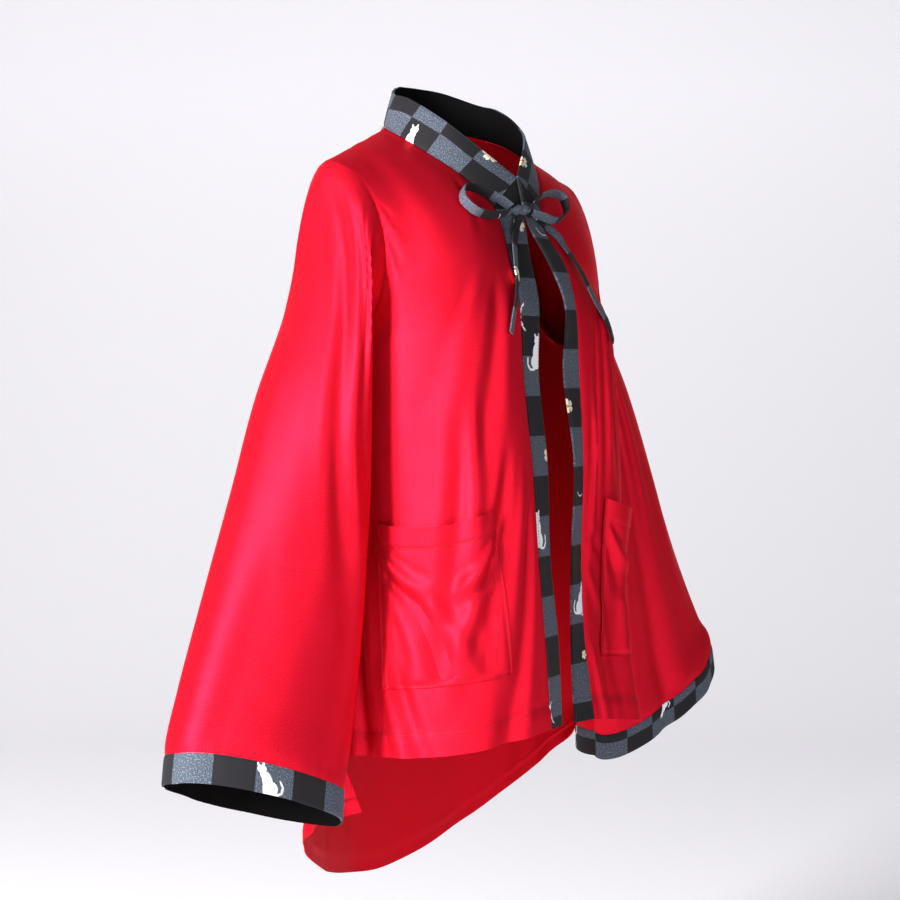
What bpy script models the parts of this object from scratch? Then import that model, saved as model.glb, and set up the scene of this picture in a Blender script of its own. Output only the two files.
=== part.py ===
"""A haori: a short, open, wide-sleeved jacket with a stand collar, front bands, cuffs, pockets and a tied bow.

The garment hangs in its worn form, with nothing inside it. Lengths below are centimetres.
+X is the wearer's left, -Y is the front, +Z is up. The origin is the middle of the neck at shoulder height.
Every panel is a thin wall round a middle surface. A surface is worked out from rows of a short table:
each row gives two edge points of a section, and the section bends from one to the other.
"""

import math

import bpy
import numpy as np

CM = 0.01

# Cloth sizes
CLOTH = 0.15
DOUBLED = 0.20
SEAM_GAP = 0.03
LEAST_MITRE = 0.65

# Steps of the panel grids
ARM_ROWS = 12
BAND_ROW = 8
SIDE_STATIONS = (54.5, 59.0, 63.5, 68.0, 72.2, 76.2, 80.2, 84.2, 88.2, 92.2, 96.2, 100.0)
TAIL_ROWS = 6
FRONT_COLUMNS = 12
BACK_COLUMNS = 12
SLEEVE_ROWS = 14
STRAP_WIDTH = 0.95

RIGHT, LEFT = "right", "left"
SIGN = {RIGHT: -1.0, LEFT: 1.0}

RED = (0.66, 0.004, 0.018)
BLACK = (0.020, 0.021, 0.023)
SLATE = (0.090, 0.105, 0.130)

# Armhole ring of each side: top, underarm, then how far it bows to the front and the back
ARMHOLE = {
    RIGHT: {"top": (16.8, 1.4, -4.8), "under": (16.5, 0.4, -21.8), "front": (-1.4, -6.0, 0.0), "back": (-1.2, 5.2, 0.0)},
    LEFT: {"top": (17.1, 1.8, -4.9), "under": (16.5, 0.8, -21.8), "front": (-1.3, -4.4, 0.0), "back": (-1.2, 5.0, 0.0)},
}

# Front edge of each side, down from the shoulder seam.
# station: 0 shoulder, 50 underarm level, 100 hem
# seam: where panel and neck band are sewn; edge: free edge of the band; round and swell: how the section bends
FRONT_HEAD = ("station", "seam_x", "seam_y", "seam_z", "edge_x", "edge_y", "edge_z", "round", "swell")
FRONT = {
    RIGHT: (
        (0, 7.0, 3.8, -0.6, 0, 0, 0, 0.00, 0.0),
        (9, 7.6, 1.0, -1.7, 0, 0, 0, 0.10, 0.5),
        (18, 7.1, -2.5, -3.6, 0, 0, 0, 0.25, 1.5),
        (27, 5.1, -5.5, -6.1, 0, 0, 0, 0.40, 2.7),
        (33.3, 3.3, -7.4, -8.7, 0.15, -7.3, -5.7, 0.60, 3.0),
        (39, 3.0, -8.4, -11.0, 0.20, -8.5, -10.3, 0.80, 2.6),
        (44, 3.8, -10.1, -14.0, 0.95, -10.1, -13.8, 0.90, 2.0),
        (50, 4.3, -11.8, -18.0, 1.55, -11.7, -17.9, 1.00, 1.4),
        (58, 4.6, -12.6, -24.5, 2.00, -12.1, -24.4, 1.05, 1.0),
        (68, 4.1, -13.3, -33.0, 1.30, -12.6, -32.9, 1.10, 0.6),
        (80, 4.1, -14.2, -42.5, 1.50, -13.2, -42.4, 1.12, 0.3),
        (90, 3.7, -14.7, -50.2, 1.00, -13.8, -50.2, 1.15, 0.1),
        (100, 3.5, -15.2, -58.0, 0.90, -14.2, -58.0, 1.18, 0.0),
    ),
    LEFT: (
        (0, 7.0, 3.8, -0.6, 0, 0, 0, 0.00, 0.0),
        (9, 7.6, 1.0, -1.7, 0, 0, 0, 0.10, 0.5),
        (18, 7.1, -2.5, -3.6, 0, 0, 0, 0.25, 1.5),
        (27, 5.1, -5.5, -6.1, 0, 0, 0, 0.40, 2.1),
        (33.3, 3.3, -7.4, -8.7, 0.15, -7.3, -5.7, 0.60, 2.0),
        (39, 3.1, -8.3, -11.0, 0.30, -8.7, -10.3, 0.80, 1.3),
        (44, 3.9, -10.0, -14.0, 1.20, -10.4, -13.8, 0.90, 0.7),
        (50, 4.2, -11.2, -18.0, 2.10, -11.8, -17.9, 1.00, 0.4),
        (58, 4.2, -11.7, -24.5, 1.60, -12.1, -24.4, 1.02, 0.7),
        (68, 4.5, -12.0, -33.0, 2.40, -12.8, -32.9, 1.05, 0.9),
        (80, 4.1, -12.1, -42.5, 1.60, -13.2, -42.4, 1.12, 0.9),
        (90, 3.6, -13.0, -50.2, 1.00, -13.7, -50.2, 1.15, 0.5),
        (100, 3.7, -14.2, -58.0, 0.90, -14.2, -58.0, 1.18, 0.2),
    ),
}

# The front hem hangs lower between its ends by this much
HEM_DIP = 0.7

# Side seam, down from the underarm: station, x outward, y, z
SIDE_HEAD = ("station", "x", "y", "z")
SIDE_SEAM = (
    (50, 16.50, 0.5, -21.8),
    (54, 16.25, 0.4, -24.6),
    (62, 16.05, 0.3, -31.0),
    (74, 16.20, 0.0, -40.5),
    (88, 17.00, -0.5, -51.0),
    (100, 17.60, -1.0, -59.9),
)

# Middle of the back, down from the neck seam: station, y, z, roundness of the section
BACK_HEAD = ("station", "y", "z", "round")
BACK_MIDDLE = (
    (0, 8.0, 0.7, 0.30),
    (12, 8.9, -3.6, 0.50),
    (25, 9.8, -9.0, 0.80),
    (38, 10.4, -15.0, 0.95),
    (50, 10.7, -21.5, 1.00),
    (65, 10.9, -32.0, 1.00),
    (80, 11.6, -43.5, 1.00),
    (100, 13.3, -60.0, 1.00),
)

# Neck seam from the middle of the back (turn 0) to the shoulder seam (turn 25)
NECK_HEAD = ("turn", "x", "y", "z")
NECK = (
    (0, 0.0, 8.0, 0.7),
    (14, 3.9, 7.1, 0.4),
    (25, 7.0, 3.8, -0.6),
)
NECK_SHARE = 0.46
# Top edge of the collar, on to the crossing at the front (turn 75)
COLLAR_TOP = (
    (0, 0.0, 6.9, 4.3),
    (14, 3.3, 6.1, 4.0),
    (25, 5.8, 3.9, 2.9),
    (38.5, 6.2, 1.2, 2.1),
    (52, 5.7, -2.0, 0.3),
    (65.5, 4.0, -4.6, -2.0),
    (75, 0.15, -7.3, -5.7),
)

# Hem of the tail across the back: across 0 is the right side seam, 100 the left
HEM_HEAD = ("across", "z")
TAIL_HEM = (
    (0, -66.0),
    (7, -67.4),
    (16, -69.9),
    (28, -73.7),
    (42, -76.4),
    (52, -76.9),
    (62, -75.2),
    (72, -72.4),
    (82, -68.6),
    (92, -64.8),
    (100, -62.4),
)
# How far the free side edges of the tail swing inward and forward by the hem
TAIL_EDGE = {RIGHT: (2.2, -1.0), LEFT: (1.6, 0.6)}
TAIL_FLARE = 0.3

# Sleeves, from the armhole to the cuff seam, and the cuff's free rim
# out: the upper fold line; under: the underarm fold; front and back: how far the cloth bows;
# lift: rise of the front; drop: fall of the back; corner: cloth hanging from the front of the armhole
SLEEVE_HEAD = (
    "along", "out_x", "out_y", "out_z", "under_x", "under_y", "under_z", "front", "back", "lift", "drop", "corner",
)
SLEEVE = {
    RIGHT: (
        (5, 17.4, 1.2, -6.6, 18.0, 0.4, -22.7, 6.2, 4.3, 0.0, 0.0, 0.2),
        (11, 17.6, 1.0, -10.0, 18.2, 0.2, -25.2, 6.5, 4.5, 0.0, 0.0, 0.5),
        (22, 19.5, 0.9, -17.0, 18.0, -0.1, -30.2, 6.5, 5.2, 0.0, 0.0, 0.7),
        (36, 23.4, 0.8, -25.4, 18.0, -0.8, -36.6, 6.2, 6.0, 0.1, 0.1, 0.9),
        (52, 27.1, 0.3, -34.6, 18.4, -1.7, -43.6, 5.7, 6.4, 0.3, 0.2, 0.9),
        (70, 31.3, -0.4, -44.4, 19.1, -2.8, -51.4, 5.1, 6.7, 0.6, 0.4, 0.7),
        (86, 34.9, -1.3, -52.4, 20.0, -3.9, -58.2, 4.6, 6.9, 1.0, 0.7, 0.4),
        (100, 36.9, -2.0, -57.6, 21.3, -4.9, -63.3, 4.2, 7.0, 1.2, 0.9, 0.2),
        (105, 37.3, -2.1, -60.2, 21.5, -5.1, -65.9, 4.1, 7.0, 1.2, 0.9, 0.1),
    ),
    LEFT: (
        (5, 17.8, 1.7, -6.7, 18.0, 0.8, -22.7, 3.7, 5.2, 0.0, 0.0, 0.1),
        (11, 17.4, 1.6, -10.0, 18.2, 0.7, -25.2, 3.8, 5.4, 0.0, 0.0, 0.2),
        (22, 19.2, 1.4, -17.0, 18.0, 0.5, -30.2, 4.1, 5.7, 0.0, 0.0, 0.3),
        (36, 23.9, 1.0, -25.4, 18.0, 0.3, -36.6, 4.1, 6.1, 0.0, 0.1, 0.3),
        (52, 28.2, 0.4, -34.6, 18.3, 0.1, -43.6, 3.6, 6.6, 0.0, 0.2, 0.3),
        (70, 32.2, -0.4, -44.4, 18.8, 0.0, -51.4, 2.9, 7.2, 0.0, 0.3, 0.2),
        (86, 35.8, -1.2, -51.6, 19.4, 0.0, -58.0, 2.0, 7.8, -0.9, 0.4, 0.1),
        (100, 37.5, -1.9, -54.9, 19.9, 0.0, -62.9, 1.8, 8.2, -2.0, 0.5, 0.0),
        (105, 37.9, -2.0, -57.5, 20.0, 0.0, -65.6, 1.7, 8.3, -2.0, 0.5, 0.0),
    ),
}
CUFF_FROM = 100
CUFF_TO = 105

# Large soft folds of a panel, one row each: where a fold starts and ends on the panel, its half width, its depth
# across runs 0 to 1 over the panel, down runs 0 to 1 from top to hem
FOLD_HEAD = ("across_0", "down_0", "across_1", "down_1", "width", "depth")
FRONT_FOLDS = {
    RIGHT: (
        (0.28, 0.50, 0.42, 1.00, 0.085, 0.35),
        (0.52, 0.42, 0.74, 1.00, 0.080, -0.40),
        (0.16, 0.56, 0.26, 1.00, 0.060, -0.30),
        (0.80, 0.46, 0.88, 1.00, 0.060, 0.35),
    ),
    LEFT: (
        (0.14, 0.40, 0.17, 1.05, 0.055, -0.55),
        (0.27, 0.42, 0.30, 1.05, 0.060, 0.55),
        (0.44, 0.50, 0.46, 1.05, 0.070, -0.45),
        (0.70, 0.50, 0.72, 1.00, 0.080, 0.35),
    ),
}
BACK_FOLDS = (
    (0.20, 0.38, 0.14, 1.05, 0.040, 0.15),
    (0.33, 0.42, 0.31, 1.05, 0.045, -0.50),
    (0.46, 0.36, 0.45, 1.05, 0.045, 0.45),
    (0.60, 0.44, 0.62, 1.05, 0.045, -0.55),
    (0.74, 0.40, 0.78, 1.05, 0.045, 0.60),
    (0.88, 0.46, 0.91, 1.05, 0.035, -0.70),
)
SLEEVE_FOLDS = {
    RIGHT: (
        (0.13, 0.25, 0.10, 1.10, 0.028, -0.40),
        (0.21, 0.12, 0.19, 1.10, 0.030, 0.45),
        (0.31, 0.20, 0.30, 1.10, 0.032, -0.50),
        (0.40, 0.08, 0.39, 1.00, 0.028, 0.40),
        (0.66, 0.15, 0.68, 1.10, 0.035, 0.60),
        (0.79, 0.22, 0.82, 1.10, 0.035, -0.55),
    ),
    LEFT: (
        (0.16, 0.22, 0.13, 1.10, 0.030, 0.35),
        (0.27, 0.12, 0.25, 1.10, 0.032, -0.40),
        (0.37, 0.18, 0.37, 1.10, 0.030, 0.35),
        (0.62, 0.14, 0.62, 1.10, 0.035, -0.60),
        (0.74, 0.20, 0.77, 1.10, 0.035, 0.60),
    ),
}

# Patch pockets on the front panels. mouth and foot: panel share across of the upper and lower corners;
# down: of the upper and lower edges; sag and gape of the mouth
POCKET = {
    RIGHT: {"mouth": (0.26, 0.80), "foot": (0.20, 0.76), "down": (0.722, 0.922), "sag": 0.9, "gape": 0.95},
    LEFT: {"mouth": (0.17, 0.71), "foot": (0.11, 0.67), "down": (0.722, 0.922), "sag": 0.9, "gape": 0.95},
}
# the panel's columns and rows that the pocket's edges lie on
POCKET_COLUMNS = (3, 9)
POCKET_ROWS = (17, 22)
POCKET_LIFT = CLOTH + 0.09
GAPE_DEPTH = 0.62

# Bow, tied in front of the collar's crossing: centre lines of the straps
KNOT_CENTRE = (-1.0, -8.8, -9.0)
KNOT_HALF = (1.35, 0.55, 0.62)
LOOPS = {
    RIGHT: ((-2.44, -8.85, -8.76), (-3.6, -8.6, -8.1), (-5.1, -8.1, -7.5), (-6.8, -7.75, -7.1), (-8.1, -8.1, -7.4),
            (-8.6, -8.6, -8.3), (-7.9, -9.4, -9.4), (-6.1, -9.6, -9.8), (-4.0, -9.5, -9.6), (-2.44, -9.0, -9.24)),
    LEFT: ((0.44, -8.8, -8.76), (1.3, -8.6, -8.0), (2.9, -8.3, -7.3), (4.6, -8.2, -7.0), (5.7, -8.3, -7.5),
           (5.8, -8.6, -8.6), (4.6, -9.0, -9.55), (3.3, -9.2, -9.8), (1.8, -9.2, -9.5), (0.44, -8.95, -9.24)),
}
# The hanging ends lie on the fronts: station and share across (below zero: share over the band), lift off the cloth
ENDS_HEAD = ("station", "across", "lift")
ENDS = {
    RIGHT: (
        (39.3, -0.55, 0.30),
        (41.5, -0.30, 0.33),
        (44.5, -0.12, 0.36),
        (47.0, 0.01, 0.4),
        (49.4, 0.06, 0.4),
        (51.2, 0.095, 0.4),
        (53.0, 0.12, 0.4),
    ),
    LEFT: (
        (37.2, -0.38, 0.35),
        (37.6, 0.03, 0.30),
        (38.9, 0.10, 0.30),
        (41.0, 0.125, 0.35),
        (44.0, 0.13, 0.4),
        (46.6, 0.16, 0.4),
        (49.0, 0.22, 0.4),
        (52.2, 0.34, 0.4),
    ),
}


def clear_scene():
    """Start from an empty scene."""
    for old in list(bpy.data.objects):
        bpy.data.objects.remove(old, do_unlink=True)


def columns(head, rows):
    """Turn a table's rows into named arrays."""
    table = np.array(rows, dtype=float)
    return {name: table[:, k] for k, name in enumerate(head)}


def smooth(keys, values, at):
    """Read a smooth curve through a table's values, with slopes taken from the rows on both sides."""
    keys = np.asarray(keys, float)
    values = np.asarray(values, float)
    slopes = np.gradient(values, keys, axis=0)
    at = np.clip(np.asarray(at, float), keys[0], keys[-1])
    i = np.clip(np.searchsorted(keys, at, side="right") - 1, 0, len(keys) - 2)
    step = keys[i + 1] - keys[i]
    f = (at - keys[i]) / step
    h00 = (1 + 2 * f) * (1 - f) ** 2
    h10 = f * (1 - f) ** 2
    h01 = f**2 * (3 - 2 * f)
    h11 = f**2 * (f - 1)
    return h00 * values[i] + h10 * step * slopes[i] + h01 * values[i + 1] + h11 * step * slopes[i + 1]


def read(table, key, names, at):
    """Read several columns of a table at once, as the last axis."""
    return np.stack([smooth(table[key], table[n], at) for n in names], axis=-1)


def armhole(side, angle):
    """Points on the armhole ring: 0 at the shoulder, 90 degrees at the front, 180 at the underarm, 270 at the back."""
    hole = ARMHOLE[side]
    top, under = np.array(hole["top"]), np.array(hole["under"])
    angle = np.radians(np.asarray(angle, float))[..., None]
    bow = np.where(np.sin(angle) >= 0, np.array(hole["front"]), np.array(hole["back"]))
    ring = (top + under) / 2 + (top - under) / 2 * np.cos(angle) + bow * np.abs(np.sin(angle))
    return ring * np.array([SIGN[side], 1, 1])


def outer_edge(side, station, to_back):
    """Outer edge of a panel: down the armhole, then down the side seam."""
    station = np.asarray(station, float)
    angle = np.clip(station / 50, 0, 1) * 180
    ring = armhole(side, 360 - angle if to_back else angle)
    seam = read(columns(SIDE_HEAD, SIDE_SEAM), "station", ("x", "y", "z"), np.clip(station, 50, 100))
    seam = seam * np.array([SIGN[side], 1, 1])
    under = armhole(side, np.full(station.shape, 180.0))
    # the seam starts at this side's own underarm and settles on the shared line further down
    settle = np.clip((station - 50) / 12, 0, 1)[..., None]
    first = read(columns(SIDE_HEAD, SIDE_SEAM), "station", ("x", "y", "z"), np.full(station.shape, 50.0))
    seam = seam + (under - first * np.array([SIGN[side], 1, 1])) * (1 - settle) ** 2
    return np.where((station <= 50)[..., None], ring, seam)


def bend(start, end, share, roundness, level=0.0):
    """A section from start to end: straight at roundness 0, a quarter of an oval at 1. level flattens its outer end."""
    quarter = np.sin(share * math.pi / 2)
    x = (1 - roundness) * share + roundness * quarter
    y = (1 - roundness) * share + roundness * (1 - np.cos(share * math.pi / 2))
    z = (1 - level) * share + level * quarter
    return start + (end - start) * np.concatenate([x, y, z], axis=-1)


def fold_height(folds, across, down):
    """Sum of soft ridges and troughs, each fading in below its start."""
    total = np.zeros_like(across)
    for row in folds:
        fold = dict(zip(FOLD_HEAD, row))
        run = (down - fold["down_0"]) / (fold["down_1"] - fold["down_0"])
        centre = fold["across_0"] + (fold["across_1"] - fold["across_0"]) * run
        fade = np.clip(run, 0, 1)
        fade = fade * fade * (3 - 2 * fade)
        total += fold["depth"] * fade * np.exp(-(((across - centre) / fold["width"]) ** 2))
    return total


def grid_normals(grid, wrap=False):
    """Unit normals of a grid of points."""
    if wrap:
        ring = np.concatenate([grid[:, -2:-1], grid, grid[:, 1:2]], axis=1)
        across = (ring[:, 2:] - ring[:, :-2]) / 2
    else:
        across = np.gradient(grid, axis=1)
    down = np.gradient(grid, axis=0)
    normal = np.cross(across, down)
    return normal / np.linalg.norm(normal, axis=-1, keepdims=True)


def outward(grid, normals, centre=(0.0, 0.0, 0.0)):
    """Turn normals so that they point away from an upright axis through centre."""
    away = (grid - np.array(centre)) * np.array([1, 1, 0])
    return normals if np.sum(normals * away) > 0 else -normals


def front_surface(side, station, across, folded=True):
    """Middle surface of a front panel."""
    table = columns(FRONT_HEAD, FRONT[side])
    start = read(table, "station", ("seam_x", "seam_y", "seam_z"), station) * np.array([SIGN[side], 1, 1])
    end = outer_edge(side, station, to_back=False)
    roundness = smooth(table["station"], table["round"], station)[..., None]
    share = across[..., None]
    underarm = np.exp(-(((station - 49) / 13) ** 2))[..., None]
    point = bend(start, end, share, roundness, underarm)
    swell = smooth(table["station"], table["swell"], station) * np.sin(math.pi * across**0.85)
    point[..., 1] -= swell
    dip = np.clip((station - 80) / 20, 0, 1) ** 2 * np.sin(math.pi * across**1.4)
    point[..., 2] -= HEM_DIP * dip
    if folded:
        height = fold_height(FRONT_FOLDS[side], across, station / 100)
        edge_fade = np.clip(np.minimum(across, 1 - across) / 0.10, 0, 1)
        away = point * np.array([1, 1, 0])
        away /= np.linalg.norm(away, axis=-1, keepdims=True)
        point = point + away * (height * edge_fade)[..., None]
    return point


def back_half(side, station, share):
    """Half of the back, from the middle (share 0) to the armhole and side seam (share 1)."""
    table = columns(BACK_HEAD, BACK_MIDDLE)
    start = read(table, "station", ("y", "z"), station)
    start = np.concatenate([np.zeros(station.shape + (1,)), start], axis=-1)
    end = outer_edge(side, station, to_back=True)
    roundness = smooth(table["station"], table["round"], station)[..., None]
    point = bend(start, end, share[..., None], roundness)
    # the top edge follows the neck seam and then the shoulder seam
    neck = columns(NECK_HEAD, NECK)
    turn = np.clip(share / NECK_SHARE, 0, 1) * 25
    top = read(neck, "turn", ("x", "y", "z"), turn) * np.array([SIGN[side], 1, 1])
    shoulder = front_surface(side, np.zeros_like(share), np.clip((share - NECK_SHARE) / (1 - NECK_SHARE), 0, 1), False)
    top = np.where((share <= NECK_SHARE)[..., None], top, shoulder)
    zero = np.zeros_like(station)
    first = bend(
        np.concatenate([np.zeros(station.shape + (1,)), read(table, "station", ("y", "z"), zero)], axis=-1),
        outer_edge(side, zero, to_back=True), share[..., None],
        smooth(table["station"], table["round"], zero)[..., None],
    )
    ease = np.clip(1 - station / 26, 0, 1)[..., None] ** 2
    return point + (top - first) * ease


def back_surface(station, across, down):
    """Middle surface of the back: across 0 is the right side, 1 the left. Past station 100 it is the tail."""
    share = np.abs(across - 0.5) * 2
    body = np.clip(station, 0, 100)
    right = back_half(RIGHT, body, share)
    left = back_half(LEFT, body, share)
    point = np.where((across <= 0.5)[..., None], right, left)
    height = fold_height(BACK_FOLDS, across, down)
    edge_fade = np.clip((1 - share) / 0.10, 0, 1)
    away = point * np.array([1, 1, 0])
    away /= np.linalg.norm(away, axis=-1, keepdims=True)
    point = point + away * (height * edge_fade)[..., None]
    # below the side seams the rows spread from the level of the seams' ends to the rounded hem
    hem = columns(HEM_HEAD, TAIL_HEM)
    fall = np.clip((station - 100) / 100, 0, 1)
    hem_z = smooth(hem["across"], hem["z"], across * 100)
    base_z = point[..., 2]
    point[..., 2] = base_z + (hem_z - base_z) * fall
    side_pull = np.clip((share - 0.72) / 0.28, 0, 1) ** 2 * fall
    pull = np.where(across <= 0.5, TAIL_EDGE[RIGHT][0], -TAIL_EDGE[LEFT][0])
    shift = np.where(across <= 0.5, TAIL_EDGE[RIGHT][1], TAIL_EDGE[LEFT][1])
    point[..., 0] += pull * side_pull
    point[..., 1] += shift * side_pull + TAIL_FLARE * fall * np.sin(math.pi * across)
    return point


def sleeve_surface(side, along, turn):
    """Middle surface of a sleeve: along 0 is the armhole, 100 the cuff seam; turn runs 0 to 1 round it."""
    table = columns(SLEEVE_HEAD, SLEEVE[side])
    hole = ARMHOLE[side]
    first = {
        "along": 0,
        "front": -hole["front"][1],
        "back": hole["back"][1],
        "lift": 0,
        "drop": 0,
        "corner": 0,
    }
    for k, axis in enumerate("xyz"):
        first["out_" + axis] = hole["top"][k]
        first["under_" + axis] = hole["under"][k]
    table = {name: np.concatenate([[first[name]], table[name]]) for name in SLEEVE_HEAD}
    out = read(table, "along", ("out_x", "out_y", "out_z"), along)
    under = read(table, "along", ("under_x", "under_y", "under_z"), along)
    angle = turn * 2 * math.pi
    c, s = np.cos(angle)[..., None], np.sin(angle)[..., None]
    front, back, lift, drop, corner = (
        smooth(table["along"], table[n], along)[..., None] for n in ("front", "back", "lift", "drop", "corner")
    )
    # near the armhole the ring also bows inward, as the armhole does
    inward = np.clip(1 - along / 14, 0, 1)[..., None] ** 2
    zero = np.zeros_like(front)
    bow_front = np.concatenate([hole["front"][0] * inward, -front, lift], axis=-1)
    bow_back = np.concatenate([hole["back"][0] * inward, back, -drop], axis=-1)
    point = (out + under) / 2 + (out - under) / 2 * c + np.where(s >= 0, bow_front, bow_back) * np.abs(s)
    hang = np.exp(-((((turn - 0.375) / 0.085)[..., None]) ** 2)) * corner
    point = point + np.concatenate([-hang, -hang, zero], axis=-1)
    height = fold_height(SLEEVE_FOLDS[side], turn, along / 100)
    middle = (out + under) / 2
    away = (point - middle) * np.array([1, 1, 0.3])
    away /= np.linalg.norm(away, axis=-1, keepdims=True) + 1e-9
    point = point + away * height[..., None]
    return point * np.array([SIGN[side], 1, 1])


def neckband_surface(side, station, share):
    """Middle surface of a front band: share 0 at the seam with the panel, 1 at its free edge."""
    table = columns(FRONT_HEAD, FRONT[side])
    seam = read(table, "station", ("seam_x", "seam_y", "seam_z"), station)
    keep = table["station"] >= 33
    edge_table = {name: values[keep] for name, values in table.items()}
    edge = read(edge_table, "station", ("edge_x", "edge_y", "edge_z"), station)
    return (seam + (edge - seam) * share[..., None]) * np.array([SIGN[side], 1, 1])


def collar_surface(turn, share):
    """Middle surface of the collar: turn runs from the right front end over the back to the left one."""
    reach = np.abs(turn)
    mirror = np.stack([np.where(turn < 0, -1.0, 1.0), np.ones_like(turn), np.ones_like(turn)], axis=-1)
    back = read(columns(NECK_HEAD, NECK), "turn", ("x", "y", "z"), reach)
    front = read(columns(FRONT_HEAD, FRONT[LEFT]), "station", ("seam_x", "seam_y", "seam_z"), (reach - 25) / 1.5)
    base = np.where((reach <= 25)[..., None], back, front)
    top = read(columns(NECK_HEAD, COLLAR_TOP), "turn", ("x", "y", "z"), reach)
    return (base + (top - base) * share[..., None]) * mirror


def front_columns(side, station):
    """Share across a front of each of its columns: below the chest two of them follow the pocket's side edges."""
    even = np.linspace(0, 1, FRONT_COLUMNS + 1)
    pocket = POCKET[side]
    rows = []
    for level in station:
        run = np.clip((level / 100 - pocket["down"][0]) / (pocket["down"][1] - pocket["down"][0]), 0, 1)
        inner = pocket["mouth"][0] + (pocket["foot"][0] - pocket["mouth"][0]) * run
        outer = pocket["mouth"][1] + (pocket["foot"][1] - pocket["mouth"][1]) * run
        first, last = (k / FRONT_COLUMNS for k in POCKET_COLUMNS)
        drawn = np.interp(even, (0, first, last, 1), (0, inner, outer, 1))
        ease = np.clip((level - 50) / 20, 0, 1)
        ease = ease * ease * (3 - 2 * ease)
        rows.append(even * (1 - ease) + drawn * ease)
    return np.array(rows)


def draw_back(grid, rows=(), cols=(), gap=SEAM_GAP / 2):
    """Draw the named border rows and columns of a grid back from their seams by a small gap, square to the seam."""
    grid = grid.copy()

    def shift(line, following):
        seam = np.gradient(line, axis=0)
        seam /= np.linalg.norm(seam, axis=-1, keepdims=True)
        move = following - line
        move -= seam * np.sum(move * seam, axis=-1, keepdims=True)
        return line + move / np.linalg.norm(move, axis=-1, keepdims=True) * np.reshape(gap, (-1, 1))

    for r in rows:
        grid[r] = shift(grid[r], grid[r + (1 if r == 0 else -1)])
    for c in cols:
        grid[:, c] = shift(grid[:, c], grid[:, c + (1 if c == 0 else -1)])
    return grid


def sew(*borders):
    """Give panels that are sewn together the same wall direction along their seam, as a mitre."""
    raw = [border.copy() for border in borders]
    mean = sum(raw)
    mean /= np.linalg.norm(mean, axis=-1, keepdims=True)
    reach = np.min([np.sum(mean * one, axis=-1) for one in raw], axis=0)
    mean = mean / np.clip(reach, LEAST_MITRE, 1)[..., None]
    for border in borders:
        border[...] = mean
    return mean


def material(name, colour, roughness, sheen=0.0):
    """A plain cloth material."""
    cloth = bpy.data.materials.new(name)
    cloth.use_nodes = True
    shader = cloth.node_tree.nodes["Principled BSDF"]
    shader.inputs["Base Color"].default_value = (*colour, 1)
    shader.inputs["Roughness"].default_value = roughness
    shader.inputs["Metallic"].default_value = 0
    shader.inputs["Sheen Weight"].default_value = sheen
    return cloth


def add_object(name, points, faces, colour, roughness):
    """Make one closed solid from points in centimetres."""
    points = np.asarray(points) * CM
    mesh = bpy.data.meshes.new(name)
    mesh.from_pydata([tuple(p) for p in points], [], faces)
    mesh.update()
    volume = 0.0
    mesh.calc_loop_triangles()
    for triangle in mesh.loop_triangles:
        a, b, c = (points[i] for i in triangle.vertices)
        volume += np.dot(a, np.cross(b, c)) / 6
    if volume < 0:
        mesh.flip_normals()
    mesh.shade_smooth()
    mesh.set_sharp_from_angle(angle=math.radians(50))
    solid = bpy.data.objects.new(name, mesh)
    solid.data.materials.append(material(name, colour, roughness))
    bpy.context.scene.collection.objects.link(solid)
    return solid


def wall(name, grid, normals, thickness, colour, roughness=0.45, wrap=False):
    """A cloth wall: the grid's points moved half the thickness each way, closed along its borders."""
    if wrap:
        grid, normals = grid[:, :-1], normals[:, :-1]
    rows, cols = grid.shape[:2]
    outer = grid + normals * thickness / 2
    inner = grid - normals * thickness / 2
    points = np.concatenate([outer.reshape(-1, 3), inner.reshape(-1, 3)])
    under = rows * cols

    def at(r, c):
        return r * cols + c % cols

    faces = []
    for r in range(rows - 1):
        for c in range(cols if wrap else cols - 1):
            a, b, d, e = at(r, c), at(r, c + 1), at(r + 1, c + 1), at(r + 1, c)
            faces.append((a, b, d, e))
            faces.append((under + e, under + d, under + b, under + a))
    border = [[at(0, c) for c in range(cols + 1 if wrap else cols)]]
    border.append([at(rows - 1, c) for c in range(cols + 1 if wrap else cols)][::-1])
    if not wrap:
        border.append([at(r, 0) for r in range(rows)][::-1])
        border.append([at(r, cols - 1) for r in range(rows)])
    for line in border:
        for a, b in zip(line, line[1:]):
            faces.append((b, a, under + a, under + b))
    return add_object(name, points, faces, colour, roughness)


def spline(points, steps):
    """Even points along a smooth curve through a few route points."""
    points = np.array(points, float)
    length = np.concatenate([[0], np.cumsum(np.linalg.norm(np.diff(points, axis=0), axis=1))])
    at = np.linspace(0, length[-1], steps)
    return np.stack([smooth(length, points[:, k], at) for k in range(3)], axis=-1)


def lying_strap(name, side, rows, steps):
    """A strap that lies on a front: its middle and its borders follow the panel's points, moved out."""
    table = np.array(rows, float)
    key = np.arange(len(table))
    at = np.linspace(0, len(table) - 1, steps)
    station, across, lift = (smooth(key, table[:, k], at) for k in range(3))
    panel, panel_normal = lifted_front(side, station, across)
    line = panel + panel_normal * lift[:, None]
    along = np.gradient(line, axis=0)
    along /= np.linalg.norm(along, axis=1, keepdims=True)
    sideways = np.cross(along, panel_normal)
    sideways /= np.linalg.norm(sideways, axis=1, keepdims=True)
    normal = np.cross(sideways, along)
    widths = np.array([-1.0, 0.0, 1.0]) * STRAP_WIDTH / 2
    grid = line[:, None] + sideways[:, None] * widths[None, :, None]
    normals = np.repeat(normal[:, None], len(widths), axis=1)
    return wall(name, grid, normals, CLOTH, BLACK, 0.5)


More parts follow.
